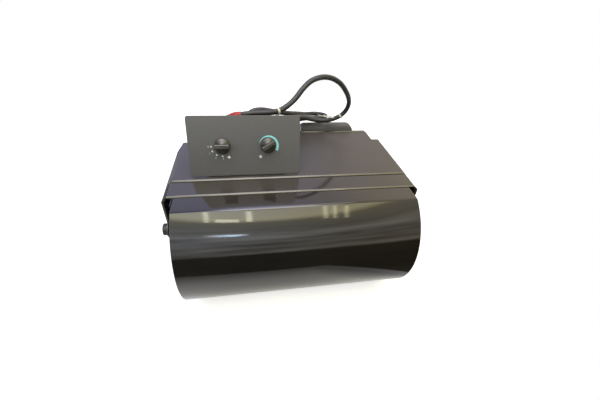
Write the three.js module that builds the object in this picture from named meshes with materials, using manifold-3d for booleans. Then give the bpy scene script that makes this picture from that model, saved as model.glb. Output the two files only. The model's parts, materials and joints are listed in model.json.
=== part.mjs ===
// Under-dash evaporator and blower unit for a vehicle cabin, with its remote control panel.
// Millimetres, +Z up. X runs across the unit, +Y towards the air outlets, -Y towards the round
// blower cover. The origin is on the flat underside of the lower case, in the middle of its width.

import * as THREE from 'three';
import { mergeVertices } from 'three/addons/utils/BufferGeometryUtils.js';
import Module from 'manifold-3d';

const wasm = await Module();
wasm.setup();

// ---------------------------------------------------------------- driving dimensions

const GAP = 0.3; // between pieces that touch
const WALL = 2.5; // moulded wall
const DECK_Z = 218.5; // top face of the case
const DECK_HALF = 194.9; // half width of the flat top
const CASE_HALF = 204.7; // half width over the side walls
const SHOULDER = 10.4; // drop of the sloping shoulder beside the flat top
const STEP = 2.38; // each of the two steps down towards the front
const STEP_Y = -80; // first step
const CASE_FRONT = -116.3; // second step, where the top cover ends
const CREASE_Y = -147.5; // where the flat front turns into the round
const CASE_REAR = 46.8; // rear end of the wide part of the case
const REAR_CUT = 16.8; // how far forward the cut-off rear corners reach
const TAIL_REAR = 86.9; // rear end of the narrower tail
const TAIL_HALF = 180.4;
const SPLIT_Z = 100; // joint between top cover and lower case
const FLOOR = 3;

const COVER_R = 114.6; // outside radius of the round front cover
const AXIS_Y = -86.4; // fan axis, also the centre of the round cover
const AXIS_Z = 116.8;
const AXLE = [0, AXIS_Y, AXIS_Z];
const COVER_HALF = 186.6;
const COVER_START = THREE.MathUtils.degToRad(32.25); // from straight up to the crease
const COVER_STEPS = 24;

const FAN_X = 114; // centre of each fan
const FAN_R = 48;
const FAN_W = 88;
const FAN_BLADES = 16;
const SCROLL_W = 102;
const SCROLL_WALL = 2;
const SHAFT_R = 4;
const MOTOR_R = 34;
const MOTOR_HALF = 40;
const MOTOR_SHELL = 3;
const ARMATURE = { r: 24, half: 28 };
const SHAFT_HALF = 150;

const CORE = { half: 165, y0: -20, y1: 38, z0: 14, z1: 200 };

const POD = { x0: 37.5, x1: 151.5, y0: 90.4, y1: 115, z0: 16, z1: 232.3 };
const POD_ROUND = [8, 18]; // corner radii: the outer upper corner is the wide one
// A pod's side above the deck, front to back: a rounded front, then a fall to the vents.
const POD_BROW = [[90.4, 218.5], [92.6, 226], [97, 230.9], [102, 232.4], [115.1, 218.6]];
const VENT_X = 94.5;
const VENT_Z = [72, 172];
const VENT_R = 39; // outside radius of a vent ring
const BALL_R = 34.4;
const BALL_Y = POD.y1 - 6;

const PANEL = {
  left: 88, right: 86.2, h: 92.6, t: 2, x: -77.7, y: -72.6, z: 220.5, lean: 22.2, knobZ: 46.8, pitch: 71.3,
};
const PANEL_ROUND = [4.5, 4.5, 4.5, 4.5];
const KNOB_R = 12.25;
const THERMOSTAT_REST = 30; // degrees of the thermostat knob's bar at rest

const CABLE_R = 4.5;
// The wiring harness from the fan switch, over the panel and in a loop, then along the right
// pod, back behind the panel, out again and down into the grommet.
const HARNESS = [
  [-114.3, -26.4, 252.5], [-114.2, -20, 250], [-114.2, -12.5, 249], [-114.1, -2.4, 252.1],
  [-113.6, 4.9, 260.4], [-112.8, 6.8, 270.2], [-111.4, 3.7, 279], [-107.9, -5.1, 287.2],
  [-101.8, -14.6, 293.8], [-92.7, -21, 298.9], [-78.7, -23.7, 302.2], [-58.8, -22.8, 303.8],
  [-36.9, -20, 303.7], [-25, -16.3, 304.2], [-15.2, -11.5, 306.7], [-5.4, -4.8, 310.6],
  [6.4, 2.9, 318], [20.1, 13.5, 330.8], [35.7, 23.9, 340.6], [57.1, 35.7, 343.6], [76.4, 44.7, 339.7],
  [95.8, 53.6, 328.8], [111.2, 62.5, 313.1], [122.8, 71.4, 296.3], [128.4, 79, 280],
  [125.3, 82, 265.6], [114.3, 83, 253.9], [95.8, 86, 244.6], [79.2, 89.5, 241.9],
  [60.7, 88.5, 244.2], [39.5, 82, 251], [14, 66, 257], [-17.5, 45.7, 256.2], [-46.8, 34.4, 248],
  [-61.3, 29, 245.3], [-72, 23, 248.8], [-78.3, 19, 259.4], [-78, 19.6, 272.4], [-71.2, 24.2, 282.7],
  [-60.9, 30.6, 286.5], [-46.2, 37.1, 285.5], [-28.5, 43, 280.6], [-1.7, 60, 270.3], [17, 82, 260.2],
  [34.1, 103, 251.2], [49.2, 121, 242.8], [60, 131.8, 238.9], [68.5, 137.3, 237.2],
  [77.5, 139.2, 236.4], [86, 137, 236.4], [92.5, 131, 237.2], [95.3, 122, 238.8], [93.3, 112.8, 240.6],
  [86.8, 105.9, 241.8], [77.5, 102.6, 242.4], [66, 101, 242.6], [52, 97.3, 243.5], [31, 87.5, 245.3],
  [10.2, 68.5, 246], [-12.9, 47.5, 245.5], [-24.3, 36.2, 242.8], [-30.4, 24.1, 240.7],
  [-34.4, 16.1, 238], [-37.2, 10.4, 231.5], [-38.4, 8, 222.5], [-38.4, 8, 214], [-38.4, 8, 205.5],
];
const SLEEVE_AT = { red: [86, 104], panel: [163.4, 165.8], loop: [409.8, 412.2] }; // distances along it
const GROMMET = [-38.4, 8];
const GROMMET_R = 8;
const SENSOR_HOLE = [-62, 10];
const SENSOR_HOLE_R = 2.2;
const SLEEVE_GAP = 1.2; // room for the harness where it bends inside a sleeve or tie

// ---------------------------------------------------------------- solids

const V2 = ([x, y]) => new THREE.Vector2(x, y);
const rad = THREE.MathUtils.degToRad;

// A closed three.js geometry as a manifold solid, turned outwards if it was inside out.
function solid(geometry) {
  const bare = geometry.index ? geometry.clone() : geometry;
  bare.deleteAttribute('normal');
  bare.deleteAttribute('uv');
  const merged = mergeVertices(bare, 1e-4);
  const p = merged.attributes.position.array;
  const index = merged.index.array;
  const kept = [];
  let volume = 0;
  const a = new THREE.Vector3();
  const b = new THREE.Vector3();
  const c = new THREE.Vector3();
  for (let i = 0; i < index.length; i += 3) {
    const [i0, i1, i2] = [index[i], index[i + 1], index[i + 2]];
    if (i0 === i1 || i1 === i2 || i2 === i0) continue;
    a.fromArray(p, 3 * i0);
    b.fromArray(p, 3 * i1);
    c.fromArray(p, 3 * i2);
    volume += a.dot(b.cross(c));
    kept.push(i0, i1, i2);
  }
  if (volume < 0) {
    for (let i = 0; i < kept.length; i += 3) [kept[i], kept[i + 1]] = [kept[i + 1], kept[i]];
  }
  const mesh = new wasm.Mesh({
    numProp: 3,
    vertProperties: new Float32Array(p),
    triVerts: new Uint32Array(kept),
  });
  return new wasm.Manifold(mesh);
}

// A manifold solid as a three.js geometry.
function geometryOf(shape) {
  const mesh = shape.getMesh();
  const geometry = new THREE.BufferGeometry();
  geometry.setAttribute('position', new THREE.BufferAttribute(new Float32Array(mesh.vertProperties), 3));
  geometry.setIndex(new THREE.BufferAttribute(new Uint32Array(mesh.triVerts), 1));
  geometry.computeVertexNormals();
  return geometry;
}

const asShape = (outline) => (outline instanceof THREE.Shape ? outline : new THREE.Shape(outline.map(V2)));

function extruded(outline, depth) {
  return new THREE.ExtrudeGeometry(asShape(outline), { depth, bevelEnabled: false, curveSegments: 3 });
}

// Prisms: an outline in one plane, carried along the third axis.
const prismZ = (outline, z0, z1) => solid(extruded(outline, z1 - z0).translate(0, 0, z0));
const prismY = (outlineXZ, y0, y1) =>
  solid(extruded(outlineXZ, y1 - y0).rotateX(Math.PI / 2).translate(0, y1, 0));
const ALONG_X = new THREE.Matrix4().makeBasis(
  new THREE.Vector3(0, 1, 0), new THREE.Vector3(0, 0, 1), new THREE.Vector3(1, 0, 0),
);
const prismX = (outlineYZ, x0, x1) =>
  solid(extruded(outlineYZ, x1 - x0).applyMatrix4(ALONG_X).translate(x0, 0, 0));

function box(x0, x1, y0, y1, z0, z1) {
  const geometry = new THREE.BoxGeometry(x1 - x0, y1 - y0, z1 - z0);
  return solid(geometry.translate((x0 + x1) / 2, (y0 + y1) / 2, (z0 + z1) / 2));
}

// Turned shapes: a closed profile of [radius, along] points round the X, Y or Z axis.
function turned(profile, axis, centre, sides = 24) {
  const geometry = new THREE.LatheGeometry([...profile, profile[0]].map(V2), sides);
  if (axis === 'x') geometry.rotateZ(-Math.PI / 2);
  if (axis === 'z') geometry.rotateX(Math.PI / 2);
  return solid(geometry.translate(...centre));
}

const rod = (r, from, to, axis, centre, sides = 24) =>
  turned([[0, from], [r, from], [r, to], [0, to]], axis, centre, sides);
const ring = (inner, outer, from, to, axis, centre, sides = 24) =>
  turned([[inner, from], [outer, from], [outer, to], [inner, to]], axis, centre, sides);

const join = (parts) => parts.reduce((sum, part) => sum.add(part));
const cut = (body, tools) => tools.reduce((left, tool) => left.subtract(tool), body);

// A rectangle with its corners rounded, each corner by its own radius.
function roundedRect(x0, x1, y0, y1, [r00, r10, r11, r01]) {
  const s = new THREE.Shape();
  s.moveTo(x0 + r00, y0);
  s.lineTo(x1 - r10, y0);
  s.absarc(x1 - r10, y0 + r10, r10, -Math.PI / 2, 0, false);
  s.lineTo(x1, y1 - r11);
  s.absarc(x1 - r11, y1 - r11, r11, 0, Math.PI / 2, false);
  s.lineTo(x0 + r01, y1);
  s.absarc(x0 + r01, y1 - r01, r01, Math.PI / 2, Math.PI, false);
  s.lineTo(x0, y0 + r00);
  s.absarc(x0 + r00, y0 + r00, r00, Math.PI, 1.5 * Math.PI, false);
  return s;
}

function circle(x, y, r, sides) {
  return Array.from({ length: sides }, (_, i) => {
    const t = (2 * Math.PI * i) / sides;
    return [x + r * Math.cos(t), y + r * Math.sin(t)];
  });
}

const routeOf = (points) =>
  new THREE.CatmullRomCurve3(points.map((p) => new THREE.Vector3(...p)), false, 'centripetal');

// A round tube along a smooth route.
function tube(points, r, sides, steps) {
  return new THREE.ExtrudeGeometry(asShape(circle(0, 0, r, sides)), { steps, extrudePath: routeOf(points) });
}

// ---------------------------------------------------------------- materials

const finish = (color, roughness, metalness) => ({ color, roughness, metalness });
const GLOSS_BLACK = finish(0x1b1a1d, 0.15, 0.0);
const MATTE_BLACK = finish(0x232426, 0.6, 0.0);
const PANEL_GREY = finish(0x2c2d2e, 0.55, 0.3);
const RUBBER = finish(0x161616, 0.85, 0.0);
const CABLE_BLACK = finish(0x1c1c1c, 0.6, 0.0);
const ALUMINIUM = finish(0xc4c7c9, 0.35, 0.9);
const STEEL = finish(0x8e9194, 0.35, 0.9);
const BRASS = finish(0xb08d4a, 0.35, 0.9);
const COPPER = finish(0xb4713f, 0.35, 0.9);
const RED = finish(0xb0241e, 0.5, 0.0);
const WHITE = finish(0xe6e4dc, 0.5, 0.0);
const CERAMIC = finish(0xd8d2c4, 0.8, 0.0);

const unit = new THREE.Group();

function add(name, shape, look, parent = unit) {
  const geometry = shape instanceof THREE.BufferGeometry ? shape : geometryOf(shape);
  const mesh = new THREE.Mesh(geometry, new THREE.MeshStandardMaterial(look));
  mesh.name = name;
  parent.add(mesh);
}

const SIDES = [['left', -1], ['right', 1]];
const across = (sign, a, b) => (sign < 0 ? [-b, -a] : [a, b]);

// ---------------------------------------------------------------- case

// Cross-section of the wide case, between two heights, drawn in by an inset.
function caseSection(inset, z0) {
  const half = CASE_HALF - inset;
  const shoulderZ = DECK_Z - SHOULDER - inset * 0.55;
  const top = DECK_Z - inset;
  const flat = DECK_HALF - inset * 0.35;
  return [[-half, z0], [half, z0], [half, shoulderZ], [flat, top], [-flat, top], [-half, shoulderZ]];
}

// The wide case from above, with its rear corners cut off, drawn in by an inset.
function casePlan(inset) {
  const half = CASE_HALF - inset;
  const back = CASE_REAR - inset;
  const cutX = DECK_HALF - inset;
  const cutY = CASE_REAR - REAR_CUT - inset;
  return [[-half, CASE_FRONT - 1], [half, CASE_FRONT - 1], [half, cutY], [cutX, back], [-cutX, back],
    [-half, cutY]];
}

const LOUVRE = { y0: -95, y1: -33, pitch: 12, height: 5, first: 118, count: 6 };
const BOSS = { y: -118, z: 154, r: 9.5, bore: 4, ear: 13, length: 7 };
const CASE_SCREWS = [[-96, 'front'], [4, 'rear']];
const SCREW = { head: 3.6, shank: 1.6 };
const SCREW_FLANGE = { half: 11, reach: 8.5, thick: 4, hole: 4.2 };

function screwFlanges(z0, z1) {
  const tabs = [];
  for (const [, sign] of SIDES) {
    const [x0, x1] = across(sign, CASE_HALF - 1, CASE_HALF + SCREW_FLANGE.reach);
    for (const [y] of CASE_SCREWS) {
      const { half } = SCREW_FLANGE;
      const radii = sign < 0 ? [4, 0, 0, 4] : [0, 4, 4, 0];
      tabs.push(prismZ(roundedRect(x0, x1, y - half, y + half, radii), z0, z1));
    }
  }
  return tabs;
}

const screwHoles = (z0, z1, r) =>
  SIDES.flatMap(([, sign]) => CASE_SCREWS.map(([y]) =>
    rod(r, z0, z1, 'z', [sign * (CASE_HALF + SCREW_FLANGE.hole), y, 0], 12)));

const ears = () => SIDES.map(([, sign]) => {
  const [x0, x1] = across(sign, CASE_HALF - WALL, CASE_HALF);
  return prismX(circle(BOSS.y, BOSS.z, BOSS.ear, 16), x0, x1);
});

function topCover() {
  const tail = roundedRect(-TAIL_HALF, TAIL_HALF, CASE_REAR - 5, TAIL_REAR, [0, 0, 5, 5]);
  const inner = TAIL_HALF - WALL;
  const outside = join([
    prismY(caseSection(0, SPLIT_Z), CASE_FRONT, CASE_REAR).intersect(
      prismZ(casePlan(0), SPLIT_Z, DECK_Z)),
    prismZ(tail, SPLIT_Z, DECK_Z),
    ...ears(),
    ...screwFlanges(SPLIT_Z, SPLIT_Z + SCREW_FLANGE.thick),
  ]);
  const louvres = Array.from({ length: LOUVRE.count }, (_, i) => {
    const z = LOUVRE.first + i * LOUVRE.pitch;
    return box(-CASE_HALF - 1, CASE_HALF + 1, LOUVRE.y0, LOUVRE.y1, z, z + LOUVRE.height);
  });
  const low = DECK_Z - STEP;
  return cut(outside, [
    prismY(caseSection(WALL, SPLIT_Z - 1), STEP_Y - WALL, CASE_REAR - WALL).intersect(
      prismZ(casePlan(WALL), 0, DECK_Z)),
    prismY(caseSection(WALL, SPLIT_Z - 1), CASE_FRONT - 20, STEP_Y).subtract(
      box(-300, 300, -300, 0, low - WALL, 300)),
    box(-inner, inner, CASE_REAR - 20, TAIL_REAR + 1, SPLIT_Z - 1, DECK_Z - WALL),
    box(-300, 300, -300, STEP_Y, low, 300),
    ...louvres,
    ...screwHoles(SPLIT_Z - 1, SPLIT_Z + 9, 2),
    rod(GROMMET_R, DECK_Z - 9, DECK_Z + 1, 'z', [...GROMMET, 0], 20),
    rod(SENSOR_HOLE_R, DECK_Z - 9, DECK_Z + 1, 'z', [...SENSOR_HOLE, 0], 12),
    ...BRACKET_SCREWS.map((x) => rod(2, DECK_Z - 9, DECK_Z + 1, 'z', [x, BRACKET_SCREW_Y, 0], 10)),
  ]);
}

function lowerCase() {
  const top = SPLIT_Z - GAP;
  const floorFront = AXIS_Y + GAP;
  const tail = roundedRect(-TAIL_HALF, TAIL_HALF, CASE_REAR - 5, TAIL_REAR, [0, 0, 5, 5]);
  const inner = TAIL_HALF - WALL;
  const wall = [[CASE_FRONT, 40], [CASE_FRONT + 24, 0], [CASE_REAR, 0], [CASE_REAR, top], [CASE_FRONT, top]];
  const outside = join([
    prismX(wall, -CASE_HALF, CASE_HALF).intersect(prismZ(casePlan(0), -1, SPLIT_Z)),
    prismZ(tail, 0, top),
    ...screwFlanges(top - SCREW_FLANGE.thick, top),
  ]);
  const half = CASE_HALF - WALL;
  return cut(outside, [
    box(-half, half, floorFront, CASE_REAR - WALL, FLOOR, SPLIT_Z + 9).intersect(
      prismZ(casePlan(WALL), 0, DECK_Z)),
    box(-half, half, CASE_FRONT - 1, floorFront, -1, SPLIT_Z + 9),
    box(-inner, inner, CASE_REAR - 20, TAIL_REAR + 1, FLOOR, SPLIT_Z + 9),
    ...screwHoles(SPLIT_Z - 9, SPLIT_Z + 1, 2),
  ]);
}

// The round front cover: flat top strip, crease, then an arc down to its lowest point.
function coverOutline(r) {
  const outline = [];
  for (let i = 0; i <= COVER_STEPS; i += 1) {
    const t = COVER_START + ((Math.PI - COVER_START) * i) / COVER_STEPS;
    outline.push([AXIS_Y - r * Math.sin(t), AXIS_Z + r * Math.cos(t)]);
  }
  return outline;
}

const COVER_TOP = DECK_Z - 2 * STEP;

function frontCover() {
  const under = DECK_Z - STEP - WALL - GAP;
  const tuck = [[CASE_FRONT + 12, under], [CASE_FRONT - GAP, under], [CASE_FRONT - GAP, COVER_TOP]];
  const outer = [...tuck, ...coverOutline(COVER_R)];
  const inner = [[CASE_FRONT + 12, COVER_TOP - WALL], ...coverOutline(COVER_R - WALL)].reverse();
  return prismX([...outer, ...inner], -COVER_HALF, COVER_HALF);
}

const INTAKE_R = 46;
const PLATE_BACK = -40; // rear edge of the end plates
const SPOKE = 3.2; // thickness of the intake grille's bars
const GRILLE = [26, 29]; // radii of the grille's middle ring
const GRILLE_HUB = 12;

function endPlate(sign) {
  const [x0, x1] = across(sign, COVER_HALF - 3, COVER_HALF - GAP);
  const outline = [...coverOutline(COVER_R - WALL - GAP), [PLATE_BACK, AXIS_Z - COVER_R + WALL + GAP],
    [PLATE_BACK, COVER_TOP - WALL - 1], [CREASE_Y + 8, COVER_TOP - WALL - 1]];
  const spokes = Array.from({ length: 3 }, (_, i) => {
    const bar = new THREE.BoxGeometry(x1 - x0, 2 * INTAKE_R + 2, SPOKE).rotateX((i * Math.PI) / 3);
    return solid(bar.translate((x0 + x1) / 2, AXIS_Y, AXIS_Z));
  });
  return join([
    prismX(outline, x0, x1).subtract(rod(INTAKE_R, x0 - 1, x1 + 1, 'x', AXLE, 24)),
    ring(...GRILLE, x0, x1, 'x', AXLE, 20),
    rod(GRILLE_HUB, x0, x1, 'x', AXLE, 12),
    ...spokes,
  ]);
}

add('lower_case', lowerCase(), GLOSS_BLACK);
add('front_cover', frontCover(), GLOSS_BLACK);
SIDES.forEach(([side, sign]) => add(`end_plate_${side}`, endPlate(sign), MATTE_BLACK));

// ---------------------------------------------------------------- fans and motor

// The scroll's side view: a spiral from the cutoff, over the front, to the outlet floor.
const SPIRAL = { cutoff: rad(50), end: rad(270), r0: 54, r1: 94, steps: 22 };
const MOUTH = { y: -36, top: 38 }; // its outlet, and how far above the axis that reaches
const SCROLL_EYE = 38; // radius of the air inlet on the outer side
const SCROLL_FOOT = { half: 30, y0: -74, y1: -50 };

function scrollOutline(inset) {
  const outline = [];
  for (let i = 0; i <= SPIRAL.steps; i += 1) {
    const share = i / SPIRAL.steps;
    const t = SPIRAL.cutoff + (SPIRAL.end - SPIRAL.cutoff) * share;
    const r = SPIRAL.r0 + (SPIRAL.r1 - SPIRAL.r0) * share - inset;
    outline.push([AXIS_Y + r * Math.cos(t), AXIS_Z + r * Math.sin(t)]);
  }
  const mouth = MOUTH.y + (inset > 0 ? 9 : 0);
  outline.push([mouth, AXIS_Z - SPIRAL.r1 + inset], [mouth, AXIS_Z + MOUTH.top - inset]);
  return outline;
}

function scroll(sign) {
  const half = SCROLL_W / 2;
  const x = sign * FAN_X;
  const centre = [x, AXIS_Y, AXIS_Z];
  const foot = box(x - SCROLL_FOOT.half, x + SCROLL_FOOT.half, SCROLL_FOOT.y0, SCROLL_FOOT.y1,
    FLOOR + GAP, AXIS_Z - SPIRAL.r1 + 1);
  return cut(join([prismX(scrollOutline(0), x - half, x + half), foot]), [
    prismX(scrollOutline(SCROLL_WALL), x - half + SCROLL_WALL, x + half - SCROLL_WALL),
    rod(SCROLL_EYE, ...across(sign, half - 5, half + 5), 'x', centre, 24),
    rod(14, ...across(-sign, half - 5, half + 5), 'x', centre, 16),
  ]);
}

const RIM = { inner: 39.5, width: 4 }; // the fan's open end
const HUB = { disc: 2.5, r: 10, length: 14 };
const BLADE = { chord: 8.5, thick: 1.4, tilt: rad(35), r: 43.4 };

// A drum fan: a hub disc on the motor side, an outer ring and a cage of blades.
function fan(sign) {
  const [x0, x1] = across(sign, FAN_X - FAN_W / 2, FAN_X + FAN_W / 2);
  const hubX = sign > 0 ? x0 : x1 - HUB.disc;
  const farX = sign > 0 ? x1 - RIM.width : x0;
  const blades = Array.from({ length: FAN_BLADES }, (_, i) => {
    const blade = new THREE.BoxGeometry(FAN_W - 1, BLADE.chord, BLADE.thick).translate((x0 + x1) / 2, 0, 0);
    blade.rotateX(BLADE.tilt).translate(0, BLADE.r, 0).rotateX((2 * Math.PI * i) / FAN_BLADES);
    return solid(blade.translate(...AXLE));
  });
  const boss = sign > 0 ? [x0, x0 + HUB.length] : [x1 - HUB.length, x1];
  return join([
    rod(FAN_R, hubX, hubX + HUB.disc, 'x', AXLE, 24),
    ring(RIM.inner, FAN_R, farX, farX + RIM.width, 'x', AXLE, 24),
    ring(SHAFT_R + 1, HUB.r, ...boss, 'x', AXLE, 16),
    ...blades,
  ]).subtract(rod(SHAFT_R + GAP, x0 - 1, x1 + 1, 'x', AXLE, 16));
}

const BEARING_R = 11;
const CAP_HUB_R = 15;

function motorCap(sign) {
  const [x0, x1] = across(sign, MOTOR_HALF + GAP, MOTOR_HALF + 8);
  const body = join([
    rod(MOTOR_R, ...across(sign, MOTOR_HALF + GAP, MOTOR_HALF + 4), 'x', AXLE, 28),
    rod(CAP_HUB_R, x0, x1, 'x', AXLE, 20),
  ]);
  return body.subtract(rod(BEARING_R + GAP, x0 - 1, x1 + 1, 'x', AXLE, 24));
}

const MOUNT_PLATE = 3;
const SADDLE = { x0: 28, x1: 32, y0: -84, y1: -30, top: 100 };
const WEB = { y0: -66, y1: -62, top: 74 }; // upright between the saddles
const STRAP = { half: 9, thick: 2 };

// The motor sits in two upright saddles on a base screwed to the floor, under a strap.
function motorCradle() {
  const { x0, x1, y0, y1, top } = SADDLE;
  const side = [[y0, FLOOR + GAP], [y1, FLOOR + GAP], [y1 - 22, top], [y0 - 37, top], [y0 - 37, top - 14]];
  return cut(join([
    prismX(side, -x1, -x0),
    prismX(side, x0, x1),
    box(-x1, x1, y0, y1, FLOOR + GAP, FLOOR + GAP + MOUNT_PLATE),
    box(-x0 - 1, x0 + 1, WEB.y0, WEB.y1, FLOOR + GAP, WEB.top),
  ]), [rod(MOTOR_R + GAP, -50, 50, 'x', AXLE, 32)]);
}

function motorStrap() {
  const r = MOTOR_R + GAP;
  const arch = ring(r, r + STRAP.thick, -STRAP.half, STRAP.half, 'x', AXLE, 32);
  return arch.subtract(box(-20, 20, -300, 0, -10, SADDLE.top + GAP));
}

SIDES.forEach(([side, sign]) => {
  const seat = across(sign, MOTOR_HALF + GAP, MOTOR_HALF + 7);
  add(`scroll_${side}`, scroll(sign), MATTE_BLACK);
  add(`fan_${side}`, fan(sign), MATTE_BLACK);
  add(`motor_cap_${side}`, motorCap(sign), STEEL);
  add(`bearing_${side}`, ring(SHAFT_R + GAP, BEARING_R, ...seat, 'x', AXLE, 20), STEEL);
});
add('motor_case', ring(MOTOR_R - MOTOR_SHELL, MOTOR_R, -MOTOR_HALF, MOTOR_HALF, 'x', AXLE, 32), STEEL);
add('motor_cradle', motorCradle(), STEEL);
add('motor_strap', motorStrap(), STEEL);
add('armature', ring(SHAFT_R + GAP, ARMATURE.r, -ARMATURE.half, ARMATURE.half, 'x', AXLE, 24), COPPER);
add('motor_shaft', rod(SHAFT_R, -SHAFT_HALF, SHAFT_HALF, 'x', AXLE, 16), STEEL);

// ---------------------------------------------------------------- cooling core

const BEND_R = 9;
const BEND_PITCH = 42;
const BEND_SHIFT = 10; // the loops stand in two rows, this far from the middle of the core
const BEND_FIRST = 23; // height of the lowest loop above the core's underside
const BENDS = 4;
const TUBE_R = 4.5;
const TRAY_TOP = FLOOR + GAP + 1.5; // upper face of the drain tray's floor

function coreEnd(sign) {
  const [x0, x1] = across(sign, CORE.half + GAP, CORE.half + 2);
  const plate = box(x0, x1, CORE.y0 - 2, CORE.y1 + 2, TRAY_TOP + GAP, CORE.z1 + 3);
  const bends = Array.from({ length: BENDS }, (_, i) => {
    const z = CORE.z0 + BEND_FIRST + i * BEND_PITCH;
    const y = (CORE.y0 + CORE.y1) / 2 + (i % 2 ? BEND_SHIFT : -BEND_SHIFT);
    const route = Array.from({ length: 9 }, (_, k) => {
      const t = rad(-90 + (180 * k) / 8);
      return [sign * (CORE.half + 1 + BEND_R * Math.cos(t)), y, z + BEND_R * Math.sin(t)];
    });
    return solid(tube(route, TUBE_R, 6, 6));
  });
  return join([plate, ...bends]);
}

const VALVE = { x: 17, y0: CORE.y1 + GAP, y1: 70, z0: 34, z1: 92 };
const PIPES = [['liquid', -9, 54, 4], ['suction', 8, 76, 7]]; // name, x, z, outside radius
const PIPE_END = 122;

function outletPipe(r, x, z) {
  const from = VALVE.y1 + GAP;
  return turned([[r - 1.2, from], [r, from], [r, PIPE_END], [r - 1.2, PIPE_END]], 'y', [x, 0, z], 16);
}

// A hexagonal union nut over the end of a pipe.
function unionNut(r, x, z) {
  const hex = circle(x, z, r + 4, 6);
  return prismY(hex, PIPE_END - 14, PIPE_END - 3).subtract(
    rod(r + GAP, PIPE_END - 20, PIPE_END + 5, 'y', [x, 0, z], 20));
}

const TRAY = { half: 174, y0: -30, y1: 50, rim: 7, wall: 2 };

function drainTray() {
  const { half, y0, y1, rim, wall } = TRAY;
  const z0 = FLOOR + GAP;
  return box(-half, half, y0, y1, z0, z0 + rim).subtract(
    box(wall - half, half - wall, y0 + wall, y1 - wall, TRAY_TOP, z0 + rim + 2));
}

const DRAIN = { x: -26, z: 12, r: 6, wall: 1.5, y0: TRAY.y1 + 2, y1: 116, barb: 0.9 };
const RESISTOR = { half: 16, y0: -58, y1: -44, height: 9 };

add('core_fins', box(-CORE.half, CORE.half, CORE.y0, CORE.y1, CORE.z0, CORE.z1), ALUMINIUM);
SIDES.forEach(([side, sign]) => add(`core_end_${side}`, coreEnd(sign), ALUMINIUM));
add('expansion_valve', box(-VALVE.x, VALVE.x, VALVE.y0, VALVE.y1, VALVE.z0, VALVE.z1), ALUMINIUM);
PIPES.forEach(([name, x, z, r]) => {
  add(`${name}_pipe`, outletPipe(r, x, z), ALUMINIUM);
  add(`${name}_nut`, unionNut(r, x, z), BRASS);
});
add('drain_tray', drainTray(), MATTE_BLACK);
const DRAIN_BORE = DRAIN.r - DRAIN.wall;
add('drain_spout', join([
  ring(DRAIN_BORE, DRAIN.r, DRAIN.y0, DRAIN.y1, 'y', [DRAIN.x, 0, DRAIN.z], 16),
  ring(DRAIN_BORE, DRAIN.r + DRAIN.barb, DRAIN.y1 - 7, DRAIN.y1 - 3, 'y', [DRAIN.x, 0, DRAIN.z], 16),
]), MATTE_BLACK);
const RESISTOR_TOP = DECK_Z - WALL - GAP;
add('speed_resistor', box(-RESISTOR.half, RESISTOR.half, RESISTOR.y0, RESISTOR.y1,
  RESISTOR_TOP - RESISTOR.height, RESISTOR_TOP), CERAMIC);

// ---------------------------------------------------------------- outlet panel and vents

const PORT_TOP = DECK_Z - WALL - 3; // upper edge of the air ports
const PORT_ROUND = [6, 6, 6, 6];

function pod(sign) {
  const { x0, x1, y0, y1, z0, z1 } = POD;
  const [a, b] = across(sign, x0, x1);
  const [c, d] = across(sign, x0 + WALL, x1 - WALL);
  const [small, wide] = POD_ROUND;
  const radii = sign > 0 ? [small, small, wide, small] : [small, small, small, wide];
  const side = prismX([[y0, z0 - 1], ...POD_BROW, [y1 + 0.1, z0 - 1]], a - 1, b + 1);
  return prismY(roundedRect(a, b, z0, z1, radii), y0, y1).intersect(side).subtract(
    prismY(roundedRect(c, d, z0 + WALL, PORT_TOP, PORT_ROUND), y0 - 9, y1 - WALL));
}

function outletPanel() {
  const plate = prismY(roundedRect(-TAIL_HALF, TAIL_HALF, 0.6, DECK_Z - 0.6, [4, 4, 4, 4]),
    TAIL_REAR + GAP, POD.y0 + 0.5);
  const ports = SIDES.map(([, sign]) => {
    const [c, d] = across(sign, POD.x0 + WALL, POD.x1 - WALL);
    const opening = roundedRect(c, d, POD.z0 + WALL, PORT_TOP, PORT_ROUND);
    return prismY(opening, TAIL_REAR - 5, POD.y0 + 5);
  });
  const vents = SIDES.flatMap(([, sign]) => VENT_Z.map((z) =>
    rod(VENT_R + 3 * GAP, POD.y0, POD.y1 + 5, 'y', [sign * VENT_X, 0, z], 20)));
  return cut(join([plate, ...SIDES.map(([, sign]) => pod(sign))]), [
    ...ports,
    ...vents,
    ...PIPES.map(([, x, z, r]) => rod(r + 1, TAIL_REAR - 5, POD.y0 + 9, 'y', [x, 0, z], 20)),
    rod(DRAIN.r + 0.6, TAIL_REAR - 5, POD.y0 + 9, 'y', [DRAIN.x, 0, DRAIN.z], 20),
  ]);
}

const RING_Y = [POD.y1 - 18, POD.y1 + GAP, POD.y1 + 3.3, POD.y1 + 4.5];
const PIN_R = 2;
const PIN_END = BALL_R + 2.6;
const VANES = { half: 9, wall: 3.4, pitch: 16, depth: 8, thick: 0.9 };
const TAB = { half: 6, y0: 7, y1: 14, thick: 1.4 };

function ventRing(x, z) {
  const [back, seat, lip, face] = RING_Y;
  const inner = BALL_R + 0.6;
  const body = turned([[inner, back], [VENT_R, back], [VENT_R, seat], [VENT_R + 4, seat],
    [VENT_R + 4, lip], [VENT_R + 2.5, face], [inner, face]], 'y', [x, 0, z], 20);
  return body.subtract(rod(PIN_R + GAP, -PIN_END - 0.5, PIN_END + 0.5, 'x', [x, BALL_Y, z], 12));
}

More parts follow.
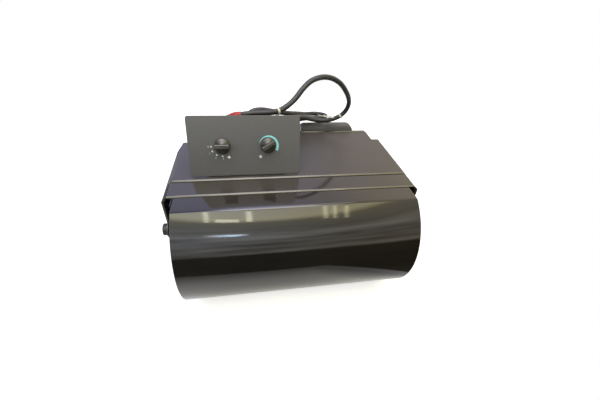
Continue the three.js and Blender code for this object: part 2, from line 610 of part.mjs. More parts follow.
// Three level blades in a ball-shaped band, hung on two pins, with a finger tab in the middle.
function ventVanes(x, z) {
  const { half, wall, pitch, depth, thick } = VANES;
  const band = [];
  for (let i = 0; i <= 4; i += 1) {
    const y = -half + (2 * half * i) / 4;
    band.push([Math.sqrt(BALL_R ** 2 - y ** 2), y]);
  }
  const bore = BALL_R - wall;
  const shell = turned([...band, [bore, half], [bore, -half]], 'y', [0, 0, 0], 20);
  const blades = [-pitch, 0, pitch].map((dz) => {
    const reach = Math.sqrt(bore ** 2 - dz ** 2) + 0.8;
    return box(-reach, reach, -depth, depth, dz - thick, dz + thick);
  });
  const pins = [-1, 1].map((s) => rod(PIN_R, ...across(s, BALL_R - 1.5, PIN_END), 'x', [0, 0, 0], 10));
  const tab = box(-TAB.half, TAB.half, TAB.y0, TAB.y1, -TAB.thick, TAB.thick);
  return join([shell, ...blades, ...pins, tab]).translate([x, BALL_Y, z]);
}

add('outlet_panel', outletPanel(), MATTE_BLACK);
SIDES.forEach(([side, sign]) => VENT_Z.forEach((z, i) => {
  const where = `${side}_${i ? 'upper' : 'lower'}`;
  add(`vent_ring_${where}`, ventRing(sign * VENT_X, z), MATTE_BLACK);
  add(`vent_vanes_${where}`, ventVanes(sign * VENT_X, z), MATTE_BLACK);
}));

// ---------------------------------------------------------------- remote control panel

// The panel's own frame: X across, Z up its face, +Y behind it; it leans back on its bracket.
const panelFrame = new THREE.Group();
panelFrame.position.set(PANEL.x, PANEL.y, PANEL.z);
panelFrame.rotation.x = -rad(PANEL.lean);
panelFrame.updateMatrix();
unit.add(panelFrame);

const BEHIND = PANEL.t + GAP; // local Y behind the plate
const BRACKET = { thick: 1.5, half: 62, height: 66, back: -30 };
const BRACKET_SCREWS = [PANEL.x - 40, PANEL.x + 40];
const BRACKET_SCREW_Y = -42;
const KNOBS = [['fan', -PANEL.pitch / 2 - 1, 0], ['thermostat', PANEL.pitch / 2 - 1, THERMOSTAT_REST]];
const BODY = { fan: [15, 26, 15], thermostat: [17, 30, 19] }; // half width, depth, half height
const BUSH_R = 4.5;
const SPINDLE_R = 3;

const atKnob = (x) => [x, 0, PANEL.knobZ];

function controlPlate() {
  const holes = KNOBS.map(([, x]) => rod(BUSH_R + GAP, -5, 9, 'y', atKnob(x), 20));
  return cut(prismY(roundedRect(-PANEL.left, PANEL.right, 0, PANEL.h, PANEL_ROUND), 0, PANEL.t), holes);
}

// Bent sheet: an upright behind the plate, held by the switch nuts, and a foot on the case.
function panelBracket() {
  const holes = KNOBS.map(([, x]) => rod(BUSH_R + GAP, -5, 9, 'y', atKnob(x), 20));
  const { thick, half, height, back } = BRACKET;
  const upright = cut(box(-half, half, BEHIND, BEHIND + thick, -0.4, height), holes);
  const foot = box(PANEL.x - half, PANEL.x + half, PANEL.y + 2.7, back, DECK_Z + GAP, DECK_Z + GAP + thick);
  return cut(join([upright.transform(panelFrame.matrix.elements), foot]), BRACKET_SCREWS.map((x) =>
    rod(2.1, DECK_Z - 5, DECK_Z + 9, 'z', [x, BRACKET_SCREW_Y, 0], 12)));
}

function switchBody(name, x) {
  const [w, depth, h] = BODY[name];
  const y0 = BEHIND + BRACKET.thick + GAP;
  const can = box(x - w, x + w, y0, y0 + depth, PANEL.knobZ - h, PANEL.knobZ + h);
  const bore = rod(SPINDLE_R + GAP, -9, y0 + 8, 'y', atKnob(x), 16);
  return cut(join([can, rod(BUSH_R, -4.5, y0 + 1, 'y', atKnob(x), 20)]), [bore]);
}

// A nut on the bush, hidden in the hollow under the knob.
const switchNut = (x) => prismY(circle(x, PANEL.knobZ, 7.2, 6), -GAP - 2.4, -GAP).subtract(
  rod(BUSH_R + GAP, -9, 9, 'y', atKnob(x), 20));

// The knob's depths in front of the plate: gap, edge, face and top of the bar.
const SKIRT = { hollow: 8.2, gap: 1, edge: 5, face: 6.4 };
const BAR = { top: 16.5, half: 3.9, round: 2.2 };

// A round skirt with a tall grip bar across it, hollow behind, on a spindle.
function knob(x, turn) {
  const { hollow, gap, edge, face } = SKIRT;
  const skirt = turned([[hollow, -gap], [KNOB_R, -gap], [KNOB_R, -edge], [KNOB_R - 0.8, -face], [0, -face],
    [0, -edge], [hollow, -edge]], 'y', [0, 0, 0], 24);
  const { top, half, round } = BAR;
  const bar = prismX(roundedRect(-top, -edge, -half, half, [round, 0, 0, round]), -13, 13).intersect(
    turned([[0, 0], [KNOB_R, 0], [KNOB_R - 1.2, -top - 0.5], [0, -top - 0.5]], 'y', [0, 0, 0], 24));
  const spindle = rod(SPINDLE_R, -edge - 0.5, 8, 'y', [0, 0, 0], 16);
  return join([skirt, bar, spindle]).rotate([0, -turn, 0]).translate([x, 0, PANEL.knobZ]);
}

add('control_plate', controlPlate(), PANEL_GREY, panelFrame);
add('panel_bracket', panelBracket(), STEEL);
KNOBS.forEach(([name, x, turn]) => {
  add(name === 'fan' ? 'fan_switch' : 'thermostat', switchBody(name, x), MATTE_BLACK, panelFrame);
  add(`${name}_nut`, switchNut(x), STEEL, panelFrame);
  add(`${name}_knob`, knob(x, turn), GLOSS_BLACK, panelFrame);
});
const HEAD_Z = DECK_Z + 2 * GAP + BRACKET.thick; // underside of the bracket screws' heads
BRACKET_SCREWS.forEach((x, i) => add(`bracket_screw_${i ? 'right' : 'left'}`, join([
  rod(SCREW.head, HEAD_Z, HEAD_Z + 2.2, 'z', [x, BRACKET_SCREW_Y, 0], 12),
  rod(SCREW.shank, DECK_Z - 7, HEAD_Z + 1, 'z', [x, BRACKET_SCREW_Y, 0], 8),
]), STEEL));

// ---------------------------------------------------------------- wiring

// The thermostat's sensing tube, from under its body down through the deck to the core.
const CAPILLARY = [
  [-43, -39, 235], [-43.6, -37, 231.8], [-47, -29, 227.5], [-54, -17, 225.5], [-60, -3, 226.5],
  [-62, 6, 224.5], [-62, 9.5, 218.5], [-62, 10, 211.5], [-62, 10, 202.5],
];
const CAPILLARY_R = 1.2;

// A sleeve or tie round the harness, between two distances along it.
function sleeve(from, to, thickness, steps) {
  const route = routeOf(HARNESS);
  const length = route.getLength();
  const along = Array.from({ length: steps + 1 }, (_, i) =>
    route.getPointAt((from + ((to - from) * i) / steps) / length));
  const section = asShape(circle(0, 0, CABLE_R + SLEEVE_GAP + thickness, 12));
  section.holes.push(new THREE.Path(circle(0, 0, CABLE_R + SLEEVE_GAP, 12).map(V2)));
  return new THREE.ExtrudeGeometry(section, { steps, extrudePath: new THREE.CatmullRomCurve3(along) });
}

function grommet() {
  const bore = CABLE_R + 2 * GAP;
  const waist = GROMMET_R - GAP;
  const flange = GROMMET_R + 1.6;
  const profile = [[bore, -WALL - 1.8], [flange, -WALL - 1.8], [flange, -WALL - GAP], [waist, -WALL - GAP],
    [waist, GAP], [flange, GAP], [flange - 1, 3.2], [bore, 3.2]];
  return turned(profile, 'z', [...GROMMET, DECK_Z], 20);
}

add('harness', tube(HARNESS, CABLE_R, 8, 72), CABLE_BLACK);
add('capillary', tube(CAPILLARY, CAPILLARY_R, 8, 14), COPPER);
add('red_sleeve', sleeve(...SLEEVE_AT.red, 0.9, 3), RED);
add('tie_panel', sleeve(...SLEEVE_AT.panel, 1.1, 1), WHITE);
add('tie_loop', sleeve(...SLEEVE_AT.loop, 1.1, 1), WHITE);
add('grommet', grommet(), RUBBER);

// ---------------------------------------------------------------- fasteners and side bosses

SIDES.forEach(([side, sign]) => {
  const [x0, x1] = across(sign, CASE_HALF + GAP, CASE_HALF + BOSS.length);
  const centre = [0, BOSS.y, BOSS.z];
  add(`side_boss_${side}`, ring(BOSS.bore, BOSS.r, x0, x1, 'x', centre, 24), RUBBER);
  CASE_SCREWS.forEach(([y, end]) => {
    const at = [sign * (CASE_HALF + SCREW_FLANGE.hole), y, 0];
    const top = SPLIT_Z + SCREW_FLANGE.thick + GAP;
    const bottom = SPLIT_Z - SCREW_FLANGE.thick - 2;
    add(`case_screw_${side}_${end}`, join([
      rod(SCREW.head, top, top + 2.4, 'z', at, 12),
      rod(SCREW.shank, bottom, top + 1, 'z', at, 8),
    ]), STEEL);
  });
});

add('top_cover', topCover(), GLOSS_BLACK);

export default unit;
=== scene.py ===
# %% [markdown]
# # A cooling unit that hangs under a dashboard, with its control panel
# The real object is a black plastic case with two blower fans behind a round front cover, a cooling
# core, four swivelling air vents at the far side, and a sheet-metal panel with a fan knob and a
# thermostat knob. A sheathed wiring harness loops from the panel into the case.
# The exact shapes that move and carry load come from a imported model, the frame. This lesson dresses
# that frame: each cell makes one piece or one finish, as a surface worked out with numpy.

# %% Load the fixed frame
import json

import bmesh
import bpy
import numpy as np
from mathutils import Matrix, Vector


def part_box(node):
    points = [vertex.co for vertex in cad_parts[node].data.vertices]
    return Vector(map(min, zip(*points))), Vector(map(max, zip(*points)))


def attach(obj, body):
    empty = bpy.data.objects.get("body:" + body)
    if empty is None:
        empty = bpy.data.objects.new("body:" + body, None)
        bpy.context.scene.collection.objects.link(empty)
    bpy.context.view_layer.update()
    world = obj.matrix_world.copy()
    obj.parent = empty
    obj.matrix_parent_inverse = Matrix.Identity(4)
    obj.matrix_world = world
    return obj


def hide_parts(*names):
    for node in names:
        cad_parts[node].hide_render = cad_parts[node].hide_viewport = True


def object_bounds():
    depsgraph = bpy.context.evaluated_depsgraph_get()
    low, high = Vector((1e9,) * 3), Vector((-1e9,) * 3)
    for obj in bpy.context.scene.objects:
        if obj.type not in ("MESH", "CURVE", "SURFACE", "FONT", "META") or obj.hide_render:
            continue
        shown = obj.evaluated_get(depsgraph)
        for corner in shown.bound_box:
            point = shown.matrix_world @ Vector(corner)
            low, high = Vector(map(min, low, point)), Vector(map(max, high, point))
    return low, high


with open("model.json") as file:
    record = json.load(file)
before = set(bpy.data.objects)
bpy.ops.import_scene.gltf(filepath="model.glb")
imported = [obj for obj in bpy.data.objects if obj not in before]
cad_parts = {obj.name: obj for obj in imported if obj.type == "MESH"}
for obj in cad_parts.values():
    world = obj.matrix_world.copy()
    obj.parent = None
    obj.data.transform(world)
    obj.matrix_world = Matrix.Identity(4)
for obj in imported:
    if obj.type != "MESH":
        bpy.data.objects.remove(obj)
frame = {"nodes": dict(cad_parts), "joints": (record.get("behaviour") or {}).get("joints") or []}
frame_box = [list(corner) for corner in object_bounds()]
joints = {joint["name"]: joint for joint in frame["joints"]}
print("frame box in metres", np.round(frame_box, 3).tolist())

# %% [markdown]
# ## The camera
# The camera stands above the front left, close enough for the near edge to look wider than the far
# one. The short lens keeps that strong perspective. Its matrix is written from its heading, pitch
# and roll, because the view leans a little to one side.

# %% Camera
CAMERA_AT = (-0.07391, -0.46876, 0.48595)
HEADING, PITCH, ROLL = np.radians([12.243, 38.607, 4.744])
LENS, SENSOR = 17.291, 36  # millimetres

ahead = np.array([np.sin(HEADING) * np.cos(PITCH), np.cos(HEADING) * np.cos(PITCH), -np.sin(PITCH)])
level = np.array([np.cos(HEADING), -np.sin(HEADING), 0.0])
above = np.cross(level, ahead)
right = np.cos(ROLL) * level + np.sin(ROLL) * above
top = -np.sin(ROLL) * level + np.cos(ROLL) * above
camera = bpy.data.objects.new("camera", bpy.data.cameras.new("camera"))
bpy.context.scene.collection.objects.link(camera)
turn = Matrix(np.column_stack([right, top, -ahead]).tolist()).to_4x4()
camera.matrix_world = Matrix.Translation(CAMERA_AT) @ turn
camera.data.lens, camera.data.sensor_width = LENS, SENSOR
camera.data.clip_start, camera.data.clip_end = 0.02, 60
bpy.context.scene.camera = camera
print("camera at", CAMERA_AT, "lens", LENS, "mm")

# %% [markdown]
# ## Finishes
# Plastic, metal and rubber are never one flat colour. Each finish here mixes two close tones with a
# soft noise, lets the roughness drift with another noise, and adds a fine relief. One function
# builds the nodes, and each finish is one call that says how coarse and how strong these are.

# %% A finish from a few numbers
NOISE_RANGE = (0.35, 0.65)  # nearly all of a noise's values lie between these
COARSER = 2.3  # how much wider the roughness drifts than the tone


def node(tree, kind, **values):
    """One shader node. A name with a capital sets an input, any other name sets a property."""
    made = tree.nodes.new(kind)
    for key, value in values.items():
        key = key.replace("_", " ") if key[0].isupper() else key
        if key[0].isupper():
            made.inputs[key].default_value = value
        else:
            setattr(made, key, value)
    return made


def feed(tree, socket, value):
    """Gives a socket its value, which is another socket or a plain number or colour."""
    if isinstance(value, bpy.types.NodeSocket):
        tree.links.new(value, socket)
    else:
        socket.default_value = value


def maths(tree, operation, *values):
    """The result of one operation on up to three values, each a number or a socket."""
    made = node(tree, "ShaderNodeMath", operation=operation)
    for socket, value in zip(made.inputs, values):
        feed(tree, socket, value)
    return made.outputs[0]


def times(tree, *values):
    """The product of some values."""
    result = values[0]
    for value in values[1:]:
        result = maths(tree, "MULTIPLY", result, value)
    return result


def between(tree, value, low, high, to_low=0.0, to_high=1.0):
    """The value carried from one range to another, and held at the ends."""
    made = node(tree, "ShaderNodeMapRange", From_Min=low, From_Max=high, To_Min=to_low, To_Max=to_high)
    tree.links.new(value, made.inputs["Value"])
    return made.outputs["Result"]


def blend(tree, share, one, other, how="MIX"):
    """Two colours mixed, or multiplied, by a share from 0 to 1. Each may be a colour or a socket."""
    made = node(tree, "ShaderNodeMix", data_type="RGBA", blend_type=how)
    feed(tree, made.inputs[0], share)
    for socket, colour in ((made.inputs[6], one), (made.inputs[7], other)):
        feed(tree, socket, colour if isinstance(colour, bpy.types.NodeSocket) else (*colour, 1.0))
    return made.outputs[2]


def along_axis(tree, axis):
    """How far along one of the object's axes a point lies, in metres."""
    apart = node(tree, "ShaderNodeSeparateXYZ")
    tree.links.new(node(tree, "ShaderNodeTexCoord").outputs["Object"], apart.inputs[0])
    return apart.outputs[axis]


def finish(name, slot, tones, grain, rough, relief, relief_grain, stretch=(1, 1, 1), **fixed):
    """Two tones mixed by noise `grain` metres across, roughness between two values by a coarser
    noise, and a relief `relief` metres high with bumps `relief_grain` across. `fixed` holds the
    numbers that are the same all over."""
    look = bpy.data.materials.new(name)
    look.use_nodes = True
    look["slot"] = slot
    tree = look.node_tree
    shader = tree.nodes["Principled BSDF"]
    place = node(tree, "ShaderNodeTexCoord")
    scaled = node(tree, "ShaderNodeMapping", Scale=stretch)
    tree.links.new(place.outputs["Object"], scaled.inputs["Vector"])

    def noise(size, detail):
        made = node(tree, "ShaderNodeTexNoise", Scale=1 / size, Detail=detail)
        tree.links.new(scaled.outputs["Vector"], made.inputs["Vector"])
        return made.outputs["Fac"]

    tree.links.new(blend(tree, between(tree, noise(grain, 5), *NOISE_RANGE), *tones),
                   shader.inputs["Base Color"])
    tree.links.new(between(tree, noise(grain * COARSER, 3), *NOISE_RANGE, *rough),
                   shader.inputs["Roughness"])
    bump = node(tree, "ShaderNodeBump", Distance=relief, Strength=1.0)
    tree.links.new(noise(relief_grain, 2), bump.inputs["Height"])
    tree.links.new(bump.outputs["Normal"], shader.inputs["Normal"])
    for socket, value in fixed.items():
        shader.inputs[socket.replace("_", " ")].default_value = value
    print("finish", name, "for slot", slot)
    return look


# %% [markdown]
# ## Meshes from arrays
# A smooth moulding is a grid of points: one parameter runs round the section and the other along
# it. The helpers below turn such a grid into quads, close its ends, join its seam and turn its
# faces outwards. Then they hand the piece to the body that it moves with.

# %% From grids to pieces
def corners(name):
    """The lowest and highest corner of a frame node, as arrays in metres."""
    return tuple(np.array(corner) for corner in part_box(name))


def grid(points, around=True, along=False):
    """Vertices and faces of a grid of points. `around` closes the second parameter and `along`
    the first. A tube that is closed only around gets one face over each end."""
    rows, columns = points.shape[:2]
    index = np.arange(rows * columns).reshape(rows, columns)
    if around:
        index = np.column_stack([index, index[:, 0]])
    if along:
        index = np.vstack([index, index[:1]])
    quads = np.stack([index[:-1, :-1], index[:-1, 1:], index[1:, 1:], index[1:, :-1]], axis=-1)
    faces = quads.reshape(-1, 4).tolist()
    if around and not along:
        faces += [list(range(columns))[::-1], list(range((rows - 1) * columns, rows * columns))]
    return points.reshape(-1, 3), faces


def piece(name, parts, look, body="housing", stands_for=(), sharp=38, uv=None, tidy=True):
    """One object from parts, each the vertices and faces that grid() gives."""
    vertices, faces, start = [], [], 0
    for points, quads in parts:
        vertices.append(points)
        faces += [[start + corner for corner in face] for face in quads]
        start += len(points)
    mesh = bpy.data.meshes.new(name)
    mesh.from_pydata(np.concatenate(vertices).tolist(), [], faces)
    if uv is not None:
        layer = mesh.uv_layers.new(name="along")
        corner_vertex = np.empty(len(mesh.loops), dtype=np.int32)
        mesh.loops.foreach_get("vertex_index", corner_vertex)
        layer.data.foreach_set("uv", uv[corner_vertex].ravel().astype(np.float32))
    if tidy:
        working = bmesh.new()
        working.from_mesh(mesh)
        bmesh.ops.remove_doubles(working, verts=working.verts, dist=2e-6)
        bmesh.ops.recalc_face_normals(working, faces=working.faces)
        working.to_mesh(mesh)
        working.free()
    mesh.shade_smooth()
    mesh.set_sharp_from_angle(angle=np.radians(sharp))
    return dress(bpy.data.objects.new(name, mesh), look, body, stands_for)


def dress(thing, look, body="housing", stands_for=()):
    """Links an object, gives it its finish, and says what it rides on and stands for."""
    if thing.name not in bpy.context.scene.collection.objects:
        bpy.context.scene.collection.objects.link(thing)
    thing.data.materials.clear()
    thing.data.materials.append(look)
    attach(thing, body)
    if stands_for:
        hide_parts(*stands_for)
    return thing


# %% [markdown]
# ## The wiring harness
# A harness is a bundle of wires in a soft black sleeve. It leaves the back of the fan switch, runs
# over the top of the panel, makes one big loop at the right, lies along the case, turns back twice
# and dips into a rubber grommet. It is a fixed length of something limp, so it is made first: its
# route is a list of points, a smooth curve goes through them, and a circle is carried along it.

# %% Route of the harness, in metres
HARNESS_R = 0.0045
HARNESS_ROUTE = 0.001 * np.array([
    [-114.3, -26.4, 252.5], [-114.2, -20, 250], [-114.2, -12.5, 249], [-114.1, -2.4, 252.1],
    [-113.6, 4.9, 260.4], [-112.8, 6.8, 270.2], [-111.4, 3.7, 279], [-107.9, -5.1, 287.2],
    [-101.8, -14.6, 293.8], [-92.7, -21, 298.9], [-78.7, -23.7, 302.2], [-58.8, -22.8, 303.8],
    [-36.9, -20, 303.7], [-25, -16.3, 304.2], [-15.2, -11.5, 306.7], [-5.4, -4.8, 310.6],
    [6.4, 2.9, 318], [20.1, 13.5, 330.8], [35.7, 23.9, 340.6], [57.1, 35.7, 343.6], [76.4, 44.7, 339.7],
    [95.8, 53.6, 328.8], [111.2, 62.5, 313.1], [122.8, 71.4, 296.3], [128.4, 79, 280],
    [125.3, 82, 265.6], [114.3, 83, 253.9], [95.8, 86, 244.6], [79.2, 89.5, 241.9], [60.7, 88.5, 244.2],
    [39.5, 82, 251], [14, 66, 257], [-17.5, 45.7, 256.2], [-46.8, 34.4, 248], [-61.3, 29, 245.3],
    [-72, 23, 248.8], [-78.3, 19, 259.4], [-78, 19.6, 272.4], [-71.2, 24.2, 282.7],
    [-60.9, 30.6, 286.5], [-46.2, 37.1, 285.5], [-28.5, 43, 280.6], [-1.7, 60, 270.3], [17, 82, 260.2],
    [34.1, 103, 251.2], [49.2, 121, 242.8], [60, 131.8, 238.9], [68.5, 137.3, 237.2],
    [77.5, 139.2, 236.4], [86, 137, 236.4], [92.5, 131, 237.2], [95.3, 122, 238.8],
    [93.3, 112.8, 240.6], [86.8, 105.9, 241.8], [77.5, 102.6, 242.4], [66, 101, 242.6],
    [52, 97.3, 243.5], [31, 87.5, 245.3], [10.2, 68.5, 246], [-12.9, 47.5, 245.5], [-24.3, 36.2, 242.8],
    [-30.4, 24.1, 240.7], [-34.4, 16.1, 238], [-37.2, 10.4, 231.5], [-38.4, 8, 222.5], [-38.4, 8, 214],
    [-38.4, 8, 205.5]])


def smooth_route(points, step):
    """A smooth curve through the points, cut into even steps. Between two points it is a cubic whose
    end slopes weigh the neighbouring points by the square roots of their distances."""
    ends = np.vstack([2 * points[0] - points[1], points, 2 * points[-1] - points[-2]])
    a, b, c, d = ends[:-3], ends[1:-2], ends[2:-1], ends[3:]
    gap = np.sqrt(np.linalg.norm(np.diff(ends, axis=0), axis=1))[:, None]
    before, here, after = gap[:-2], gap[1:-1], gap[2:]
    leave = here * ((b - a) / before - (c - a) / (before + here) + (c - b) / here)
    arrive = here * ((c - b) / here - (d - b) / (here + after) + (d - c) / after)
    t = np.linspace(0, 1, 24, endpoint=False)[None, :, None]
    curve = (b[:, None] * (1 - 3 * t**2 + 2 * t**3) + c[:, None] * (3 * t**2 - 2 * t**3)
             + leave[:, None] * (t - 2 * t**2 + t**3) + arrive[:, None] * (t**3 - t**2))
    curve = np.vstack([curve.reshape(-1, 3), points[-1]])
    run = np.concatenate([[0], np.cumsum(np.linalg.norm(np.diff(curve, axis=0), axis=1))])
    even = np.linspace(0, run[-1], max(3, int(run[-1] / step) + 1))
    return np.column_stack([np.interp(even, run, curve[:, axis]) for axis in range(3)])


def frames_along(path):
    """Unit directions along and across a path, turned as little as possible from step to step."""
    way = np.gradient(path, axis=0)
    way /= np.linalg.norm(way, axis=1)[:, None]
    side = np.empty_like(way)
    first = np.cross(way[0], [0, 0, 1] if abs(way[0][2]) < 0.9 else [1, 0, 0])
    side[0] = first / np.linalg.norm(first)
    for step in range(1, len(path)):
        turned_side = side[step - 1] - way[step] * np.dot(side[step - 1], way[step])
        side[step] = turned_side / np.linalg.norm(turned_side)
    return way, side, np.cross(way, side)


def hose(path, radius, sides=20):
    """A circle carried along a path: point = path + radius * (cos a * side + sin a * up). The radius
    may change along the path. Each end is drawn in by a quarter over a quarter of a radius."""
    way, side, up = frames_along(path)
    radius = np.broadcast_to(radius, len(path)).astype(float)
    path = np.vstack([path[:1] - way[:1] * radius[0] * 0.25, path,
                      path[-1:] + way[-1:] * radius[-1] * 0.25])
    side, up = (np.vstack([v[:1], v, v[-1:]]) for v in (side, up))
    radius = np.concatenate([radius[:1] * 0.75, radius, radius[-1:] * 0.75])
    angle = np.linspace(0, 2 * np.pi, sides, endpoint=False)
    ring = (np.cos(angle)[None, :, None] * side[:, None] + np.sin(angle)[None, :, None] * up[:, None])
    return path[:, None] + radius[:, None, None] * ring


def hose_uv(points):
    """For each point of a hose: how far round it is, from 0 to 1, and how far along, in metres."""
    rows, columns = points.shape[:2]
    centre = points.mean(axis=1)
    run = np.concatenate([[0], np.cumsum(np.linalg.norm(np.diff(centre, axis=0), axis=1))])
    return np.stack([np.tile(np.arange(columns) / columns, (rows, 1)),
                     np.tile(run[:, None], (1, columns))], axis=-1).reshape(-1, 2)


HARNESS_PACE = 0.0022  # metres from ring to ring
harness_path = smooth_route(HARNESS_ROUTE, HARNESS_PACE)

# %% [markdown]
# The sleeve is woven so finely that it reads as soft dark plastic. Its pattern has to follow the
# cable round every bend, so it reads the piece's own UV map: how far round, and how far along.

# %% Sheath finish and the harness itself
def sheath_finish():
    """A soft sheath: faint lines along the cable over a slow drift of tone and roughness."""
    look = finish("harness_sheath", "cable_sheath", ((0.012, 0.012, 0.013), (0.024, 0.024, 0.026)), 0.02,
                  (0.36, 0.5), 0.0001, 0.0012, Specular_IOR_Level=0.55)
    tree = look.node_tree
    shader, bump = tree.nodes["Principled BSDF"], tree.nodes["Bump"]
    own = node(tree, "ShaderNodeUVMap", uv_map="along")
    weave = node(tree, "ShaderNodeTexWave", Scale=1.0, Distortion=0.6, bands_direction="DIAGONAL")
    fine = node(tree, "ShaderNodeMapping", Scale=(12, 900, 1))
    tree.links.new(own.outputs["UV"], fine.inputs["Vector"])
    tree.links.new(fine.outputs["Vector"], weave.inputs["Vector"])
    second = node(tree, "ShaderNodeBump", Distance=0.00012, Strength=0.5)
    tree.links.new(weave.outputs["Fac"], second.inputs["Height"])
    tree.links.new(bump.outputs["Normal"], second.inputs["Normal"])
    tree.links.new(second.outputs["Normal"], shader.inputs["Normal"])
    return look


sheath = sheath_finish()
harness_points = hose(harness_path, HARNESS_R)
harness = piece("harness_run", [grid(harness_points)], sheath, stands_for=["harness"], tidy=False,
                uv=hose_uv(harness_points))
print("harness has", len(harness.data.polygons), "faces")

# %% [markdown]
# ## Helpers for mouldings
# Moulded and pressed parts share three shapes: an outline with rounded corners, an outline carried
# along a straight line with rounded ends, and a profile turned round an axis. Each is one function.

# %% Outlines, prisms and turned shapes
def filleted(corner_points, radii, steps=6):
    """A closed outline with its corners rounded. The arc touches both edges at the same distance
    from the corner, and its points are mixed from the two end radii by sines of the swept angle."""
    p = np.asarray(corner_points, float)
    back, ahead_of = np.roll(p, 1, 0) - p, np.roll(p, -1, 0) - p
    long_back, long_ahead = np.linalg.norm(back, axis=1), np.linalg.norm(ahead_of, axis=1)
    back, ahead_of = back / long_back[:, None], ahead_of / long_ahead[:, None]
    half = np.arccos(np.clip((back * ahead_of).sum(1), -0.9999, 0.9999)) / 2
    cut = np.minimum(np.maximum(radii, 2e-5) / np.tan(half), 0.48 * np.minimum(long_back, long_ahead))
    middle = back + ahead_of
    centre = p + middle / np.linalg.norm(middle, axis=1)[:, None] * (cut / np.cos(half))[:, None]
    start, end = p + back * cut[:, None] - centre, p + ahead_of * cut[:, None] - centre
    sweep = (np.pi - 2 * half)[:, None, None]
    t = np.linspace(0, 1, steps + 1)[None, :, None]
    arc = (np.sin((1 - t) * sweep) * start[:, None] + np.sin(t * sweep) * end[:, None]) / np.sin(sweep)
    return (centre[:, None] + arc).reshape(-1, 2)


def drawn_in(outline, amount):
    """An outline moved inwards by an amount, along the mean of its edge normals."""
    edge = np.roll(outline, -1, 0) - outline
    normal = np.column_stack([edge[:, 1], -edge[:, 0]])
    normal /= np.linalg.norm(normal, axis=1)[:, None] + 1e-12
    normal = normal + np.roll(normal, 1, 0)
    normal /= np.linalg.norm(normal, axis=1)[:, None] + 1e-12
    x, y = outline[:, 0], outline[:, 1]
    outwards = np.sign((x * np.roll(y, -1) - np.roll(x, -1) * y).sum())
    return outline - normal * outwards * amount


def prism(outline, start, end, axis, edge=0.0006, steps=3):
    """An outline carried from start to end. Near each end it moves by edge * (1 - cos t) while it is
    drawn in by edge * (1 - sin t), which rounds the rim. `axis` is the direction it is carried in."""
    t = np.linspace(0, np.pi / 2, steps + 1)
    inset = np.concatenate([edge * (1 - np.sin(t)), edge * (1 - np.sin(t[::-1]))])
    place = np.concatenate([start + edge * (1 - np.cos(t)), end - edge * (1 - np.cos(t[::-1]))])
    rows = np.stack([drawn_in(outline, amount) for amount in inset])
    place = np.broadcast_to(place[:, None], rows.shape[:2])
    order = {"x": (place, rows[..., 0], rows[..., 1]), "y": (rows[..., 0], place, rows[..., 1]),
             "z": (rows[..., 0], rows[..., 1], place)}
    return grid(np.stack(order[axis], axis=-1))


def turned(profile, centre, axis, sides=72, wave=None):
    """A closed profile of (radius, along) points turned round an axis: across = radius * cos a,
    up = radius * sin a. `wave` multiplies each radius by a function of the angle."""
    profile = np.asarray(profile, float)
    angle = np.linspace(0, 2 * np.pi, sides, endpoint=False)
    radius = profile[:, :1] * (np.ones(sides) if wave is None else wave(angle, profile))
    across, up = radius * np.cos(angle), radius * np.sin(angle)
    along = np.broadcast_to(profile[:, 1:], across.shape)
    order = {"x": (along, across, up), "y": (across, along, up), "z": (across, up, along)}
    return grid(np.stack(order[axis], axis=-1) + np.asarray(centre), along=True)


def softened(names, new_name, look, width, steps=2):
    """A copy of frame nodes with their loose triangles joined, flat faces made whole again, and
    every sharp edge rounded by a bevel of a width in metres."""
    working = bmesh.new()
    for name in names:
        working.from_mesh(frame["nodes"][name].data)
    bmesh.ops.remove_doubles(working, verts=working.verts, dist=3e-6)
    bmesh.ops.dissolve_limit(working, angle_limit=np.radians(0.6), verts=working.verts,
                             edges=working.edges)
    mesh = bpy.data.meshes.new(new_name)
    working.to_mesh(mesh)
    working.free()
    mesh.shade_smooth()
    thing = dress(bpy.data.objects.new(new_name, mesh), look, stands_for=names)
    rounding = thing.modifiers.new("rounded edges", "BEVEL")
    rounding.width, rounding.segments, rounding.limit_method = width, steps, "ANGLE"
    rounding.angle_limit, rounding.miter_outer = np.radians(36), "MITER_ARC"
    weighted = thing.modifiers.new("weighted normals", "WEIGHTED_NORMAL")
    weighted.keep_sharp = True
    return thing


# %% [markdown]
# ## The case finish
# The case is polished dark plastic, moulded in a steel tool. It mirrors the room, with a trace of
# waviness. This finish takes the usual noise and tints it from umber to a warmer brown towards the
# right, by how far across the case a point is: a painted reflection tint, added to the warmer room
# reflection on the right. The deck is satin, and its front strip is as smooth as the cover. Behind
# the crease the colour is about three times paler: painted light on the cover's flat strip, which
# faces up, against its round.

# %% Case finish and moulding finish
def tinted(look, start, end, first, second, axis="X"):
    """Multiplies a finish's colour by one tint at `start` along an axis and another at `end`."""
    tree = look.node_tree
    colour = tree.nodes["Principled BSDF"].inputs["Base Color"]
    tint = blend(tree, between(tree, along_axis(tree, axis), start, end), first, second)
    tree.links.new(blend(tree, 1.0, colour.links[0].from_socket, tint, "MULTIPLY"), colour)
    return look


def graded(look, start, end, share):
    """Multiplies a finish's roughness by `share` in front of Y = start, and leaves it behind Y = end."""
    tree = look.node_tree
    rough = tree.nodes["Principled BSDF"].inputs["Roughness"]
    scale = between(tree, along_axis(tree, "Y"), start, end, share, 1.0)
    tree.links.new(times(tree, rough.links[0].from_socket, scale), rough)
    return look


